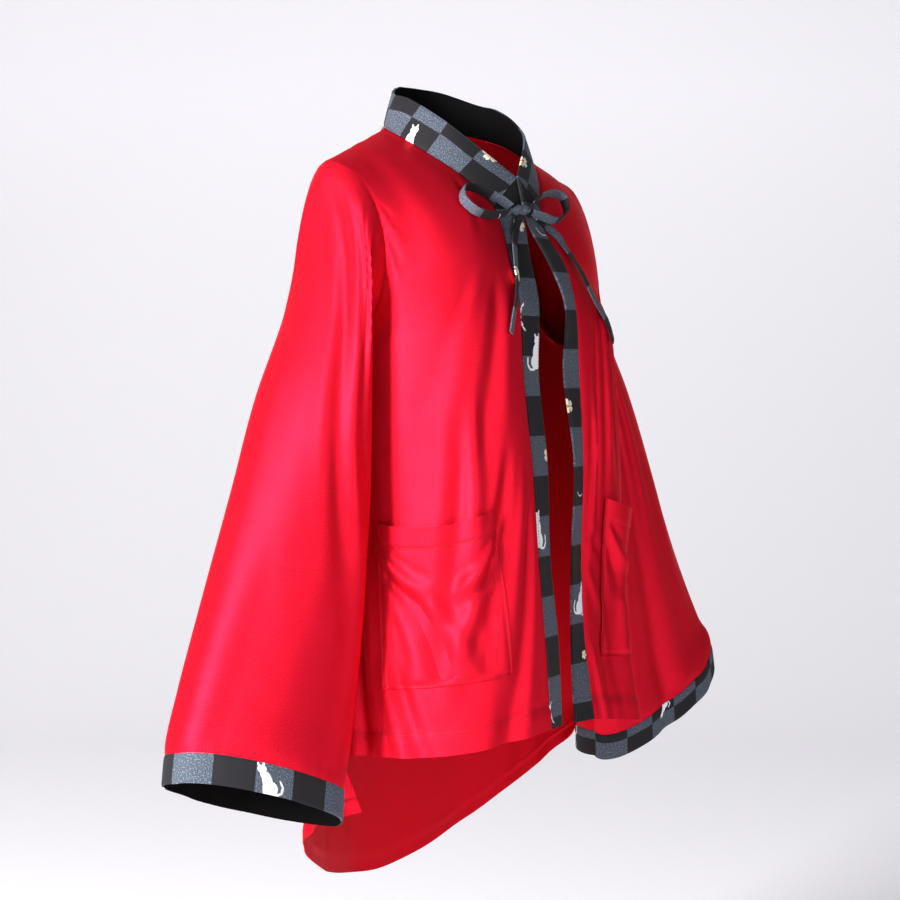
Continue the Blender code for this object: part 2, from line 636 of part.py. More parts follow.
def lifted_front(side, station, across):
    """Points and outward normals on a front; a share below zero is on the band beside it."""
    step = 0.02
    over = across < 0
    share = np.abs(across)

    def place(st, sh):
        return np.where(over[:, None], neckband_surface(side, st, sh), front_surface(side, st, sh))

    point = place(station, share)
    down = place(station + 50 * step, share) - point
    sideways = place(station, share + step) - place(station, np.clip(share - step, 0, 1))
    normal = np.cross(down, sideways)
    normal /= np.linalg.norm(normal, axis=1, keepdims=True)
    facing = np.sum(normal * point * np.array([1, 1, 0]), axis=1, keepdims=True)
    return point, np.where(facing < 0, -normal, normal)


def loop_strap(name, route, steps):
    """A bow loop: a strap bent round on itself, its width lying across the bend."""
    line = spline(route, steps)
    along = np.gradient(line, axis=0)
    along /= np.linalg.norm(along, axis=1, keepdims=True)
    width = np.array([0.0, -1.0, 0.25])
    width = width / np.linalg.norm(width)
    side = width - along * (along @ width)[:, None]
    side /= np.linalg.norm(side, axis=1, keepdims=True)
    normal = np.cross(along, side)
    across = np.array([-1.0, 0.0, 1.0])
    grid = line[:, None] + side[:, None] * (across * STRAP_WIDTH / 2)[None, :, None]
    normals = np.repeat(normal[:, None], len(across), axis=1)
    return wall(name, grid, normals, CLOTH, SLATE, 0.5)


def panel_grids():
    """Grids of points and wall directions of every panel, alike where two panels are sewn together."""
    station = np.concatenate([np.linspace(0, 50, ARM_ROWS + 1), SIDE_STATIONS])
    side_rows = len(station)
    grids, normals = {}, {}
    for side in (RIGHT, LEFT):
        across = front_columns(side, station)
        rows = np.repeat(station[:, None], across.shape[1], axis=1)
        grids["front_" + side] = grid = front_surface(side, rows, across)
        normals["front_" + side] = outward(grid, grid_normals(grid))

    neck_steps, shoulder_steps = BACK_COLUMNS // 2, BACK_COLUMNS // 2
    half = np.concatenate([np.linspace(0, NECK_SHARE, neck_steps + 1), np.linspace(NECK_SHARE, 1, shoulder_steps + 1)[1:]])
    across = 0.5 + np.concatenate([-half[::-1], half[1:]]) / 2
    tail = np.linspace(100, 200, TAIL_ROWS + 1)[1:]
    rows, cols = np.meshgrid(np.concatenate([station, tail]), across, indexing="ij")
    length_share = np.where(rows <= 100, rows / 100 * 0.78, 0.78 + (rows - 100) / 100 * 0.22)
    grids["back"] = grid = back_surface(rows, cols, length_share)
    normals["back"] = outward(grid, grid_normals(grid))

    turn = np.linspace(0, 1, 2 * ARM_ROWS + 1)
    along = np.concatenate([[0, 2, 5, 9], np.linspace(14, 100, SLEEVE_ROWS - 3)])
    cuff_along = np.array([CUFF_FROM, (CUFF_FROM + CUFF_TO) / 2, CUFF_TO])
    for side in (RIGHT, LEFT):
        for name, levels in (("sleeve_", along), ("cuff_", cuff_along)):
            rows, cols = np.meshgrid(levels, turn, indexing="ij")
            grids[name + side] = grid = sleeve_surface(side, rows, cols)
            normal = grid_normals(grid, wrap=True)
            facing = np.sum(normal * (grid - grid[:, :-1].mean(axis=1, keepdims=True)))
            normals[name + side] = normal if facing > 0 else -normal

    front_turns = 25 + station[1 : BAND_ROW + 1] * 1.5
    half_turns = np.concatenate([np.linspace(0, 25, neck_steps + 1), front_turns])
    turns = np.concatenate([-half_turns[::-1], half_turns[1:]])
    shares = np.linspace(0, 1, 4)
    rows, cols = np.meshgrid(shares, turns, indexing="ij")
    grids["collar"] = grid = collar_surface(cols, rows)
    normals["collar"] = outward(grid, grid_normals(grid), centre=(0, 0.5, 0))
    for side in (RIGHT, LEFT):
        rows, cols = np.meshgrid(station[BAND_ROW:], shares, indexing="ij")
        grids["band_" + side] = grid = neckband_surface(side, rows, cols)
        normals["band_" + side] = outward(grid, grid_normals(grid))

    middle = len(half) - 1
    collar_middle = len(half_turns) - 1
    for side, way in ((RIGHT, -1), (LEFT, 1)):
        front, back, collar = normals["front_" + side], normals["back"], normals["collar"]
        sleeve, cuff, band = normals["sleeve_" + side], normals["cuff_" + side], normals["band_" + side]
        edge = middle + way * middle
        neck = slice(middle, middle + way * neck_steps, way)
        collar_back = slice(collar_middle, collar_middle + way * neck_steps, way)
        collar_front = [collar_middle + way * (neck_steps + k) for k in range(BAND_ROW + 1)]
        tip = sum((front[0, -1], back[0, edge], sleeve[0, 0]))
        underarm = sum((front[ARM_ROWS, -1], back[ARM_ROWS, edge], sleeve[0, ARM_ROWS]))
        neck_point = sum((front[0, 0], back[0, middle + way * neck_steps], collar[0, collar_front[0]]))
        crossing = sum((front[BAND_ROW, 0], collar[0, collar_front[-1]], band[0, 0]))
        # shoulder: the front has two steps for each one of the back
        shoulder = [middle + way * (neck_steps + k) for k in range(shoulder_steps + 1)]
        mean = front[0, ::2] + back[0, shoulder]
        mean /= np.linalg.norm(mean, axis=-1, keepdims=True)
        mean[0] = neck_point / np.linalg.norm(neck_point)
        mean[-1] = tip / np.linalg.norm(tip)
        back[0, shoulder] = mean
        front[0, ::2] = mean
        front[0, 1::2] = (mean[1:] + mean[:-1]) / 2
        # armhole
        sew(front[1:ARM_ROWS, -1], sleeve[0, 1:ARM_ROWS])
        sew(back[1:ARM_ROWS, edge], sleeve[0, 2 * ARM_ROWS - 1 : ARM_ROWS : -1])
        sleeve[0, 0] = sleeve[0, -1] = mean[-1]
        # side seam, cuff seam
        sew(front[ARM_ROWS + 1 :, -1], back[ARM_ROWS + 1 : side_rows, edge])
        sew(sleeve[-1], cuff[0])
        # neck: back and front; band to front; band to collar
        sew(back[0, neck], collar[0, collar_back])
        part = collar[0, collar_front[1:-1]]
        collar[0, collar_front[1:-1]] = sew(front[1:BAND_ROW, 0], part)
        collar[0, collar_front[0]] = mean[0]
        sew(front[BAND_ROW + 1 :, 0], band[1:, 0])
        sew(band[0, 1:], collar[1:, collar_front[-1]])
        # corners where three panels meet
        underarm /= np.linalg.norm(underarm) * LEAST_MITRE
        for array, place in ((front, (ARM_ROWS, -1)), (back, (ARM_ROWS, edge)), (sleeve, (0, ARM_ROWS))):
            array[place] = underarm
        crossing /= np.linalg.norm(crossing)
        for array, place in ((front, (BAND_ROW, 0)), (collar, (0, collar_front[-1])), (band, (0, 0))):
            array[place] = crossing
    return grids, normals


def panels(grids, normals):
    """Build the fronts, back, sleeves, cuffs, collar and bands."""
    # the sharp fold at the underarm needs more room
    row = np.arange(ARM_ROWS + 1 + len(SIDE_STATIONS))
    body_gap = SEAM_GAP / 2 + 0.07 * np.exp(-(((row - ARM_ROWS) / 1.8) ** 2))
    ring_gap = SEAM_GAP / 2 + 0.12 * np.exp(-(((np.arange(2 * ARM_ROWS + 1) - ARM_ROWS) / 2.5) ** 2))
    tail_gap = np.concatenate([body_gap, np.full(TAIL_ROWS, SEAM_GAP / 2)])
    for side in (RIGHT, LEFT):
        grid = draw_back(draw_back(grids["front_" + side], (0,), (0,)), cols=(-1,), gap=body_gap)
        wall("front_" + side, grid, normals["front_" + side], CLOTH, RED)
        grid = draw_back(draw_back(grids["sleeve_" + side], (-1,)), rows=(0,), gap=ring_gap)
        wall("sleeve_" + side, grid, normals["sleeve_" + side], CLOTH, RED, wrap=True)
        grid = draw_back(grids["cuff_" + side], (0,), gap=2 * SEAM_GAP)
        wall("cuff_" + side, grid, normals["cuff_" + side], DOUBLED, SLATE, wrap=True)
        grid = draw_back(grids["band_" + side], (0,), (0,))
        wall("band_" + side, grid, normals["band_" + side], DOUBLED, BLACK)
    grid = draw_back(draw_back(grids["back"], (0,)), cols=(0, -1), gap=tail_gap)
    wall("back", grid, normals["back"], CLOTH, RED)
    wall("collar", draw_back(grids["collar"], (0,), (0, -1)), normals["collar"], DOUBLED, SLATE)


def pockets(grids, normals):
    """Patch pockets: the front's points between four of its lines, halved, and moved out; more so at the mouth."""
    left, right = POCKET_COLUMNS
    top, foot = POCKET_ROWS
    for side in (RIGHT, LEFT):
        area = (slice(top, foot + 1), slice(left, right + 1))
        grid, normal = (halved(halved(a["front_" + side][area], 0, 3), 1) for a in (grids, normals))
        normal = normal / np.linalg.norm(normal, axis=-1, keepdims=True)
        pocket = POCKET[side]
        run = np.linalg.norm(grid - grid[:1], axis=-1)
        down = (run / run[-1:]).clip(0, 1)
        across = np.repeat(np.linspace(0, 1, grid.shape[1])[None], grid.shape[0], axis=0)
        arch = np.sin(math.pi * across)
        open_share = np.clip(1 - down / GAPE_DEPTH, 0, 1) ** 1.5
        lift = POCKET_LIFT + pocket["gape"] * open_share * arch**0.8
        grid = grid + normal * lift[..., None]
        grid[..., 2] -= pocket["sag"] * arch * (1 - down) ** 2
        wall("pocket_" + side, grid, outward(grid, grid_normals(grid)), CLOTH, RED)


def halved(grid, axis, steps=None):
    """Put a middle point between neighbours along an axis, for its first steps or for all."""
    grid = np.moveaxis(grid, axis, 0)
    lines = []
    for k in range(len(grid) - 1):
        lines.append(grid[k])
        if steps is None or k < steps:
            lines.append((grid[k] + grid[k + 1]) / 2)
    lines.append(grid[-1])
    return np.moveaxis(np.array(lines), 0, axis)


def bow():
    """The knot, its two loops and its two hanging ends."""
    turn = np.linspace(0, 2 * math.pi, 13)
    height = np.linspace(-1, 1, 7)
    points, faces = [], []
    centre, half = np.array(KNOT_CENTRE), np.array(KNOT_HALF)
    for h in height:
        size = math.sqrt(max(1 - abs(h) ** 3, 0.45))
        for a in turn[:-1]:
            points.append(centre + half * np.array([h, math.cos(a) * size, math.sin(a) * size]))
    count = len(turn) - 1
    for r in range(len(height) - 1):
        for c in range(count):
            a, b = r * count + c, r * count + (c + 1) % count
            faces.append((a, b, b + count, a + count))
    faces.append(tuple(range(count))[::-1])
    faces.append(tuple(range((len(height) - 1) * count, len(height) * count)))
    add_object("bow_knot", points, faces, SLATE, 0.5)
    for side in (RIGHT, LEFT):
        loop_strap("bow_loop_" + side, LOOPS[side], 17)
        lying_strap("bow_end_" + side, side, ENDS[side], 13)


clear_scene()
panel_points, panel_directions = panel_grids()
panels(panel_points, panel_directions)
pockets(panel_points, panel_directions)
bow()
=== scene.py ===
# %% [markdown]
# # A haori in red knit with checked bands
#
# A haori is a short open coat that hangs from the shoulders and is tied at the neck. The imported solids
# already give this one its size and its worn shape. Here each solid gets a fine cloth of its own, with
# creases, seams, stitches and prints, and then the floor, the lights and the camera are set.
# The frame could be remodelled from nothing, but loading it keeps the dressed garment and the solids in
# one place. Lengths in the tables are centimetres. +X is the wearer's left, -Y the front, +Z up.

# %% Load the frame
import math

import bpy
import numpy as np
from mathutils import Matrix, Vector


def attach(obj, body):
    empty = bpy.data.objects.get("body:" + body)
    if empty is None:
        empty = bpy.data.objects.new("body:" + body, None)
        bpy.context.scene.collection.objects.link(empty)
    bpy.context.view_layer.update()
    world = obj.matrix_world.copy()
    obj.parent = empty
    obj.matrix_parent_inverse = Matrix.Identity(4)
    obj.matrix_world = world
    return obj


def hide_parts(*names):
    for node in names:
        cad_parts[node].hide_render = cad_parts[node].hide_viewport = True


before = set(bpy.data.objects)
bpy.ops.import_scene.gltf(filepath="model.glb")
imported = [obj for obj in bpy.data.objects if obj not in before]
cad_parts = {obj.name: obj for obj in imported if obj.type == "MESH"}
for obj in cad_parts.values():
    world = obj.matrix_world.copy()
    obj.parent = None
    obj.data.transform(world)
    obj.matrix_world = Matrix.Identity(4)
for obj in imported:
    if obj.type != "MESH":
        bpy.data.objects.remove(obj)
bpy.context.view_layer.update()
CM = 0.01
SIDES = RIGHT, LEFT = "right", "left"
MIRROR = {RIGHT: np.array([-1.0, 1, 1]), LEFT: np.array([1.0, 1, 1])}


# %% [markdown]
# ## Reading a shape from a few measured rows
#
# A coat is cut from flat panels, and worn it follows a handful of lines: seams, folds and hems.
# Such a shape could be sculpted, or dropped on a body with cloth simulation. Here the lines are short
# tables with smooth curves through them: they are the lines that the solids are built from, so the cloth
# lands where the solids are, and one number moves one seam.

# %% Smooth curves through tables
def columns(head, rows):
    """Turn a table's rows into arrays, named by its head."""
    table = np.array(rows, dtype=float)
    return {name: table[:, k] for k, name in enumerate(head.split())}


def smooth(keys, values, at):
    """Read a smooth curve through a table's values, with slopes taken from the rows on both sides."""
    keys, values, at = (np.asarray(a, float) for a in (keys, values, at))
    slopes = np.gradient(values, keys, axis=0)
    at = np.clip(at, keys[0], keys[-1])
    i = np.clip(np.searchsorted(keys, at, side="right") - 1, 0, len(keys) - 2)
    gap = keys[i + 1] - keys[i]
    f = (at - keys[i]) / gap
    h00 = (1 + 2 * f) * (1 - f) ** 2
    h10 = f * (1 - f) ** 2
    h01 = f**2 * (3 - 2 * f)
    h11 = f**2 * (f - 1)
    return h00 * values[i] + h10 * gap * slopes[i] + h01 * values[i + 1] + h11 * gap * slopes[i + 1]


def read(table, names, at):
    """Read columns of a table at places of its first one; several names give a last axis."""
    keys = next(iter(table.values()))
    curves = [smooth(keys, table[name], at) for name in names.split()]
    return np.stack(curves, axis=-1) if len(curves) > 1 else curves[0]


print("half way between 2 and 6:", float(smooth([0, 1], [2.0, 6.0], 0.5)))

# %% [markdown]
# ## Armholes and side seams
#
# The sleeves are set into two oval holes, and the fronts meet the back in a seam from the underarm down.
# Both panels and the sleeve share these edges, so they are made once and read by all three. A shared
# edge is the simplest way to keep three separate cloths joined without a gap.

# %% Armhole rings
# Top and underarm of each ring, then how far it bows to the front and the back
ARMHOLE = {
    RIGHT: ((16.8, 1.4, -4.8), (16.5, 0.4, -21.8), (-1.4, -6.0, 0.0), (-1.2, 5.2, 0.0)),
    LEFT: ((17.1, 1.8, -4.9), (16.5, 0.8, -21.8), (-1.3, -4.4, 0.0), (-1.2, 5.0, 0.0)),
}


def armhole(side, angle):
    """Points on the ring: 0 at the shoulder, 90 degrees at the front, 180 at the underarm, 270 at the back."""
    top, under, front, back = np.array(ARMHOLE[side])
    angle = np.radians(np.asarray(angle, float))[..., None]
    bow = np.where(np.sin(angle) >= 0, front, back)
    ring = (top + under) / 2 + (top - under) / 2 * np.cos(angle) + bow * np.abs(np.sin(angle))
    return ring * MIRROR[side]


def lengths(points, axis=0):
    """Distance run along one axis of a line or a grid of points."""
    steps = np.linalg.norm(np.diff(points, axis=axis), axis=-1)
    return np.concatenate([np.zeros_like(steps.take([0], axis)), np.cumsum(steps, axis)], axis)


print("right armhole is", round(float(lengths(armhole(RIGHT, np.linspace(0, 360, 73)))[-1]), 1), "cm round")

# %% Side seams
# Stations of a panel: 0 is its top
UNDERARM, HEM = 50, 100
SIDE_SEAM = columns("station x y z", (
    (50, 16.50, 0.5, -21.8),
    (54, 16.25, 0.4, -24.6),
    (62, 16.05, 0.3, -31.0),
    (74, 16.20, 0.0, -40.5),
    (88, 17.00, -0.5, -51.0),
    (100, 17.60, -1.0, -59.9),
))
# By this many stations below the underarm both sides follow the same seam
SEAM_SETTLES = 12


def outer_edge(side, station, to_back):
    """Outer edge of a panel: down the armhole, then down the side seam."""
    station = np.asarray(station, float)
    angle = np.clip(station / UNDERARM, 0, 1) * 180
    ring = armhole(side, 360 - angle if to_back else angle)
    # the seam starts at this side's own underarm and settles on the shared line further down
    shift = armhole(side, 180.0) - read(SIDE_SEAM, "x y z", UNDERARM) * MIRROR[side]
    settle = np.clip((station - UNDERARM) / SEAM_SETTLES, 0, 1)[..., None]
    seam = read(SIDE_SEAM, "x y z", station) * MIRROR[side] + shift * (1 - settle) ** 2
    return np.where((station <= UNDERARM)[..., None], ring, seam)


print("underarm at", np.round(outer_edge(LEFT, np.array([50.0]), False)[0], 1))

# %% [markdown]
# ## The front panels
#
# Each front is one flat piece that bends round the chest from the neck band to the armhole and the side.
# It could be a grid pulled about by hand. A bend from straight to a quarter of an oval, row by row, is
# closer to how cloth behaves: it curves one way and stays straight down its length. Large folds are
# added as soft ridges and troughs that fade in below the bust.

# %% Humps and fades
def bell(offset, half=1.0):
    """A soft hump, 1 in its middle."""
    return np.exp(-((offset / half) ** 2))


def step(low, high, value):
    """A smooth 0 to 1 between two limits."""
    share = np.clip((value - low) / (high - low), 0, 1)
    return share * share * (3 - 2 * share)

# %% Bend and large folds
def bend(start, end, share, roundness, level=0.0):
    """A section: straight at roundness 0, a quarter of an oval at 1. level flattens its outer end."""
    quarter = np.sin(share * math.pi / 2)
    x = (1 - roundness) * share + roundness * quarter
    y = (1 - roundness) * share + roundness * (1 - np.cos(share * math.pi / 2))
    z = (1 - level) * share + level * quarter
    return start + (end - start) * np.concatenate([x, y, z], axis=-1)


def fold_height(folds, across, down):
    """Sum of soft ridges and troughs, each fading in below its start.

    A row gives the places across and down of a fold's start and end, its half width and its depth. Both
    ways run 0 to 1 over the panel.
    """
    total = np.zeros_like(across)
    for across_0, down_0, across_1, down_1, half, depth in folds:
        run = (down - down_0) / (down_1 - down_0)
        centre = across_0 + (across_1 - across_0) * run
        total += depth * step(0, 1, run) * bell(across - centre, half)
    return total

# %% Measured lines of the fronts
# Front edge of each side, down from the shoulder seam.
# station: 0 shoulder, 50 underarm level, 100 hem
# seam: where panel and neck band are sewn; edge: free edge of the band; round and swell: how the section bends
FRONT_HEAD = "station seam_x seam_y seam_z edge_x edge_y edge_z round swell"
FRONT_ROWS = {
    RIGHT: (
        (0, 7.0, 3.8, -0.6, 0, 0, 0, 0.00, 0.0),
        (9, 7.6, 1.0, -1.7, 0, 0, 0, 0.10, 0.5),
        (18, 7.1, -2.5, -3.6, 0, 0, 0, 0.25, 1.5),
        (27, 5.1, -5.5, -6.1, 0, 0, 0, 0.40, 2.7),
        (33.3, 3.3, -7.4, -8.7, 0.15, -7.3, -5.7, 0.60, 3.0),
        (39, 3.0, -8.4, -11.0, 0.20, -8.5, -10.3, 0.80, 2.6),
        (44, 3.8, -10.1, -14.0, 0.95, -10.1, -13.8, 0.90, 2.0),
        (50, 4.3, -11.8, -18.0, 1.55, -11.7, -17.9, 1.00, 1.4),
        (58, 4.6, -12.6, -24.5, 2.00, -12.1, -24.4, 1.05, 1.0),
        (68, 4.1, -13.3, -33.0, 1.30, -12.6, -32.9, 1.10, 0.6),
        (80, 4.1, -14.2, -42.5, 1.50, -13.2, -42.4, 1.12, 0.3),
        (90, 3.7, -14.7, -50.2, 1.00, -13.8, -50.2, 1.15, 0.1),
        (100, 3.5, -15.2, -58.0, 0.90, -14.2, -58.0, 1.18, 0.0),
    ),
    LEFT: (
        (0, 7.0, 3.8, -0.6, 0, 0, 0, 0.00, 0.0),
        (9, 7.6, 1.0, -1.7, 0, 0, 0, 0.10, 0.5),
        (18, 7.1, -2.5, -3.6, 0, 0, 0, 0.25, 1.5),
        (27, 5.1, -5.5, -6.1, 0, 0, 0, 0.40, 2.1),
        (33.3, 3.3, -7.4, -8.7, 0.15, -7.3, -5.7, 0.60, 2.0),
        (39, 3.1, -8.3, -11.0, 0.30, -8.7, -10.3, 0.80, 1.3),
        (44, 3.9, -10.0, -14.0, 1.20, -10.4, -13.8, 0.90, 0.7),
        (50, 4.2, -11.2, -18.0, 2.10, -11.8, -17.9, 1.00, 0.4),
        (58, 4.2, -11.7, -24.5, 1.60, -12.1, -24.4, 1.02, 0.7),
        (68, 4.5, -12.0, -33.0, 2.40, -12.8, -32.9, 1.05, 0.9),
        (80, 4.1, -12.1, -42.5, 1.60, -13.2, -42.4, 1.12, 0.9),
        (90, 3.6, -13.0, -50.2, 1.00, -13.7, -50.2, 1.15, 0.5),
        (100, 3.7, -14.2, -58.0, 0.90, -14.2, -58.0, 1.18, 0.2),
    ),
}
FRONT = {side: columns(FRONT_HEAD, FRONT_ROWS[side]) for side in SIDES}
FRONT_FOLDS = {
    RIGHT: (
        (0.28, 0.50, 0.42, 1.00, 0.085, 0.35),
        (0.52, 0.42, 0.74, 1.00, 0.080, -0.40),
        (0.16, 0.56, 0.26, 1.00, 0.060, -0.30),
        (0.80, 0.46, 0.88, 1.00, 0.060, 0.35),
    ),
    LEFT: (
        (0.14, 0.40, 0.17, 1.05, 0.055, -0.55),
        (0.27, 0.42, 0.30, 1.05, 0.060, 0.55),
        (0.44, 0.50, 0.46, 1.05, 0.070, -0.45),
        (0.70, 0.50, 0.72, 1.00, 0.080, 0.35),
    ),
}

# %% Folds that stand out
# Large folds die out over this share beside a panel's edges
FOLD_EDGE = 0.10


def unit(vectors):
    """Vectors of length one."""
    return vectors / np.maximum(np.linalg.norm(vectors, axis=-1, keepdims=True), 1e-12)


def fold_out(point, folds, across, down, from_edge):
    """Move a panel's points out, level, by its large folds."""
    height = fold_height(folds, across, down) * np.clip(from_edge / FOLD_EDGE, 0, 1)
    return point + unit(point * np.array([1, 1, 0])) * height[..., None]

# %% Surface of a front
# The sections stay level at the underarm: station and reach; below DIP_FROM the hem hangs lower in its middle
LEVEL_AT, LEVEL_REACH = 49, 13
DIP_FROM, HEM_DIP = 80, 0.7


def front_surface(side, station, across, folded=True):
    """Middle surface of a front panel."""
    table = FRONT[side]
    start = read(table, "seam_x seam_y seam_z", station) * MIRROR[side]
    end = outer_edge(side, station, to_back=False)
    level = bell(station - LEVEL_AT, LEVEL_REACH)[..., None]
    point = bend(start, end, across[..., None], read(table, "round", station)[..., None], level)
    point[..., 1] -= read(table, "swell", station) * np.sin(math.pi * across**0.85)
    dip = np.clip((station - DIP_FROM) / (HEM - DIP_FROM), 0, 1) ** 2 * np.sin(math.pi * across**1.4)
    point[..., 2] -= HEM_DIP * dip
    if not folded:
        return point
    return fold_out(point, FRONT_FOLDS[side], across, station / HEM, np.minimum(across, 1 - across))


corner = front_surface(RIGHT, np.array([[100.0]]), np.array([[0.0]]))[0, 0]
print("right front's lower corner at", np.round(corner, 1))

# %% [markdown]
# ## The back and its tail
#
# The back is a single wide piece that hangs from the shoulders, and below the side seams it runs on as a
# rounded tail, longer than the fronts. Two mirrored halves meet in the middle, so the seams can differ
# left and right while the middle stays smooth. The tail's rows spread from the level of the side seams'
# ends to the curved hem, as the cut does.

# %% Measured lines of the back
# Middle of the back, down from the neck seam
BACK_MIDDLE = columns("station y z round", (
    (0, 8.0, 0.7, 0.30),
    (12, 8.9, -3.6, 0.50),
    (25, 9.8, -9.0, 0.80),
    (38, 10.4, -15.0, 0.95),
    (50, 10.7, -21.5, 1.00),
    (65, 10.9, -32.0, 1.00),
    (80, 11.6, -43.5, 1.00),
    (100, 13.3, -60.0, 1.00),
))
# Neck seam from the middle of the back to the shoulder seam, over this share of the back's top edge
NECK = columns("turn x y z", ((0, 0.0, 8.0, 0.7), (14, 3.9, 7.1, 0.4), (25, 7.0, 3.8, -0.6)))
SHOULDER_TURN, NECK_SHARE = 25, 0.46
# Hem of the tail: across 0 is the right side seam, 100 the left
TAIL_HEM = columns("across z", (
    (0, -66.0), (7, -67.4), (16, -69.9), (28, -73.7), (42, -76.4), (52, -76.9),
    (62, -75.2), (72, -72.4), (82, -68.6), (92, -64.8), (100, -62.4),
))
# How far the free side edges of the tail, right and left, swing to +X and to +Y by the hem
TAIL_EDGE_X, TAIL_EDGE_Y = (2.2, -1.6), (-1.0, 0.6)
TAIL_EDGE_FROM = 0.72
TAIL_FLARE = 0.3
BACK_FOLDS = (
    (0.20, 0.38, 0.14, 1.05, 0.040, 0.15),
    (0.33, 0.42, 0.31, 1.05, 0.045, -0.50),
    (0.46, 0.36, 0.45, 1.05, 0.045, 0.45),
    (0.60, 0.44, 0.62, 1.05, 0.045, -0.55),
    (0.74, 0.40, 0.78, 1.05, 0.045, 0.60),
    (0.88, 0.46, 0.91, 1.05, 0.035, -0.70),
)

# %% Half of the back
# The neck and shoulder seams shape the back down to this station
SHOULDER_EASE = 26


def back_half(side, station, share):
    """Half of the back, from the middle (share 0) to the armhole and side seam (share 1)."""

    def section(level):
        middle = read(BACK_MIDDLE, "y z", level)
        start = np.concatenate([np.zeros_like(middle[..., :1]), middle], axis=-1)
        roundness = read(BACK_MIDDLE, "round", level)[..., None]
        return bend(start, outer_edge(side, level, to_back=True), share[..., None], roundness)

    # the top edge follows the neck seam and then the shoulder seam
    neck = read(NECK, "x y z", np.clip(share / NECK_SHARE, 0, 1) * SHOULDER_TURN) * MIRROR[side]
    beyond = np.clip((share - NECK_SHARE) / (1 - NECK_SHARE), 0, 1)
    shoulder = front_surface(side, np.zeros_like(share), beyond, folded=False)
    top = np.where((share <= NECK_SHARE)[..., None], neck, shoulder)
    ease = np.clip(1 - station / SHOULDER_EASE, 0, 1)[..., None] ** 2
    return section(station) + (top - section(np.zeros_like(station))) * ease

# %% Surface of the back
def back_surface(station, across, down):
    """Middle surface of the back: across 0 is the right side, 1 the left. Past station 100 it is the tail."""
    share = np.abs(across - 0.5) * 2
    on_right = across <= 0.5
    body = np.clip(station, 0, HEM)
    point = np.where(on_right[..., None], back_half(RIGHT, body, share), back_half(LEFT, body, share))
    point = fold_out(point, BACK_FOLDS, across, down, 1 - share)
    # below the side seams the rows spread from the level of the seams' ends to the rounded hem
    fall = np.clip((station - HEM) / HEM, 0, 1)
    point[..., 2] += (read(TAIL_HEM, "z", across * 100) - point[..., 2]) * fall
    side_pull = np.clip((share - TAIL_EDGE_FROM) / (1 - TAIL_EDGE_FROM), 0, 1) ** 2 * fall
    point[..., 0] += np.where(on_right, *TAIL_EDGE_X) * side_pull
    point[..., 1] += np.where(on_right, *TAIL_EDGE_Y) * side_pull
    point[..., 1] += TAIL_FLARE * fall * np.sin(math.pi * across)
    return point


tail = back_surface(np.array([[200.0]]), np.array([[0.5]]), np.array([[1.0]]))[0, 0]
print("lowest point of the tail", np.round(tail, 1))

# %% [markdown]
# ## The sleeves
#
# A haori's sleeve is a wide tube that opens towards the hand and hangs from the arm in a flat fall.
# A cylinder bent with a modifier would keep one round section. Rings are drawn instead between the upper
# fold line and the underarm fold, each with its own bow to the front and the back.

# %% Measured rings of the sleeves
# Sleeves, from the armhole to the cuff seam, and the cuff's free rim
# out: the upper fold line; under: the underarm fold; front and back: how far the cloth bows;
# lift: rise of the front; drop: fall of the back; corner: cloth hanging from the front of the armhole
SLEEVE_HEAD = "along out_x out_y out_z under_x under_y under_z front back lift drop corner"
SLEEVE_ROWS = {
    RIGHT: (
        (5, 17.4, 1.2, -6.6, 18.0, 0.4, -22.7, 6.2, 4.3, 0.0, 0.0, 0.2),
        (11, 17.6, 1.0, -10.0, 18.2, 0.2, -25.2, 6.5, 4.5, 0.0, 0.0, 0.5),
        (22, 19.5, 0.9, -17.0, 18.0, -0.1, -30.2, 6.5, 5.2, 0.0, 0.0, 0.7),
        (36, 23.4, 0.8, -25.4, 18.0, -0.8, -36.6, 6.2, 6.0, 0.1, 0.1, 0.9),
        (52, 27.1, 0.3, -34.6, 18.4, -1.7, -43.6, 5.7, 6.4, 0.3, 0.2, 0.9),
        (70, 31.3, -0.4, -44.4, 19.1, -2.8, -51.4, 5.1, 6.7, 0.6, 0.4, 0.7),
        (86, 34.9, -1.3, -52.4, 20.0, -3.9, -58.2, 4.6, 6.9, 1.0, 0.7, 0.4),
        (100, 36.9, -2.0, -57.6, 21.3, -4.9, -63.3, 4.2, 7.0, 1.2, 0.9, 0.2),
        (105, 37.3, -2.1, -60.2, 21.5, -5.1, -65.9, 4.1, 7.0, 1.2, 0.9, 0.1),
    ),
    LEFT: (
        (5, 17.8, 1.7, -6.7, 18.0, 0.8, -22.7, 3.7, 5.2, 0.0, 0.0, 0.1),
        (11, 17.4, 1.6, -10.0, 18.2, 0.7, -25.2, 3.8, 5.4, 0.0, 0.0, 0.2),
        (22, 19.2, 1.4, -17.0, 18.0, 0.5, -30.2, 4.1, 5.7, 0.0, 0.0, 0.3),
        (36, 23.9, 1.0, -25.4, 18.0, 0.3, -36.6, 4.1, 6.1, 0.0, 0.1, 0.3),
        (52, 28.2, 0.4, -34.6, 18.3, 0.1, -43.6, 3.6, 6.6, 0.0, 0.2, 0.3),
        (70, 32.2, -0.4, -44.4, 18.8, 0.0, -51.4, 2.9, 7.2, 0.0, 0.3, 0.2),
        (86, 35.8, -1.2, -51.6, 19.4, 0.0, -58.0, 2.0, 7.8, -0.9, 0.4, 0.1),
        (100, 37.5, -1.9, -54.9, 19.9, 0.0, -62.9, 1.8, 8.2, -2.0, 0.5, 0.0),
        (105, 37.9, -2.0, -57.5, 20.0, 0.0, -65.6, 1.7, 8.3, -2.0, 0.5, 0.0),
    ),
}
CUFF_FROM, CUFF_TO = 100, 105
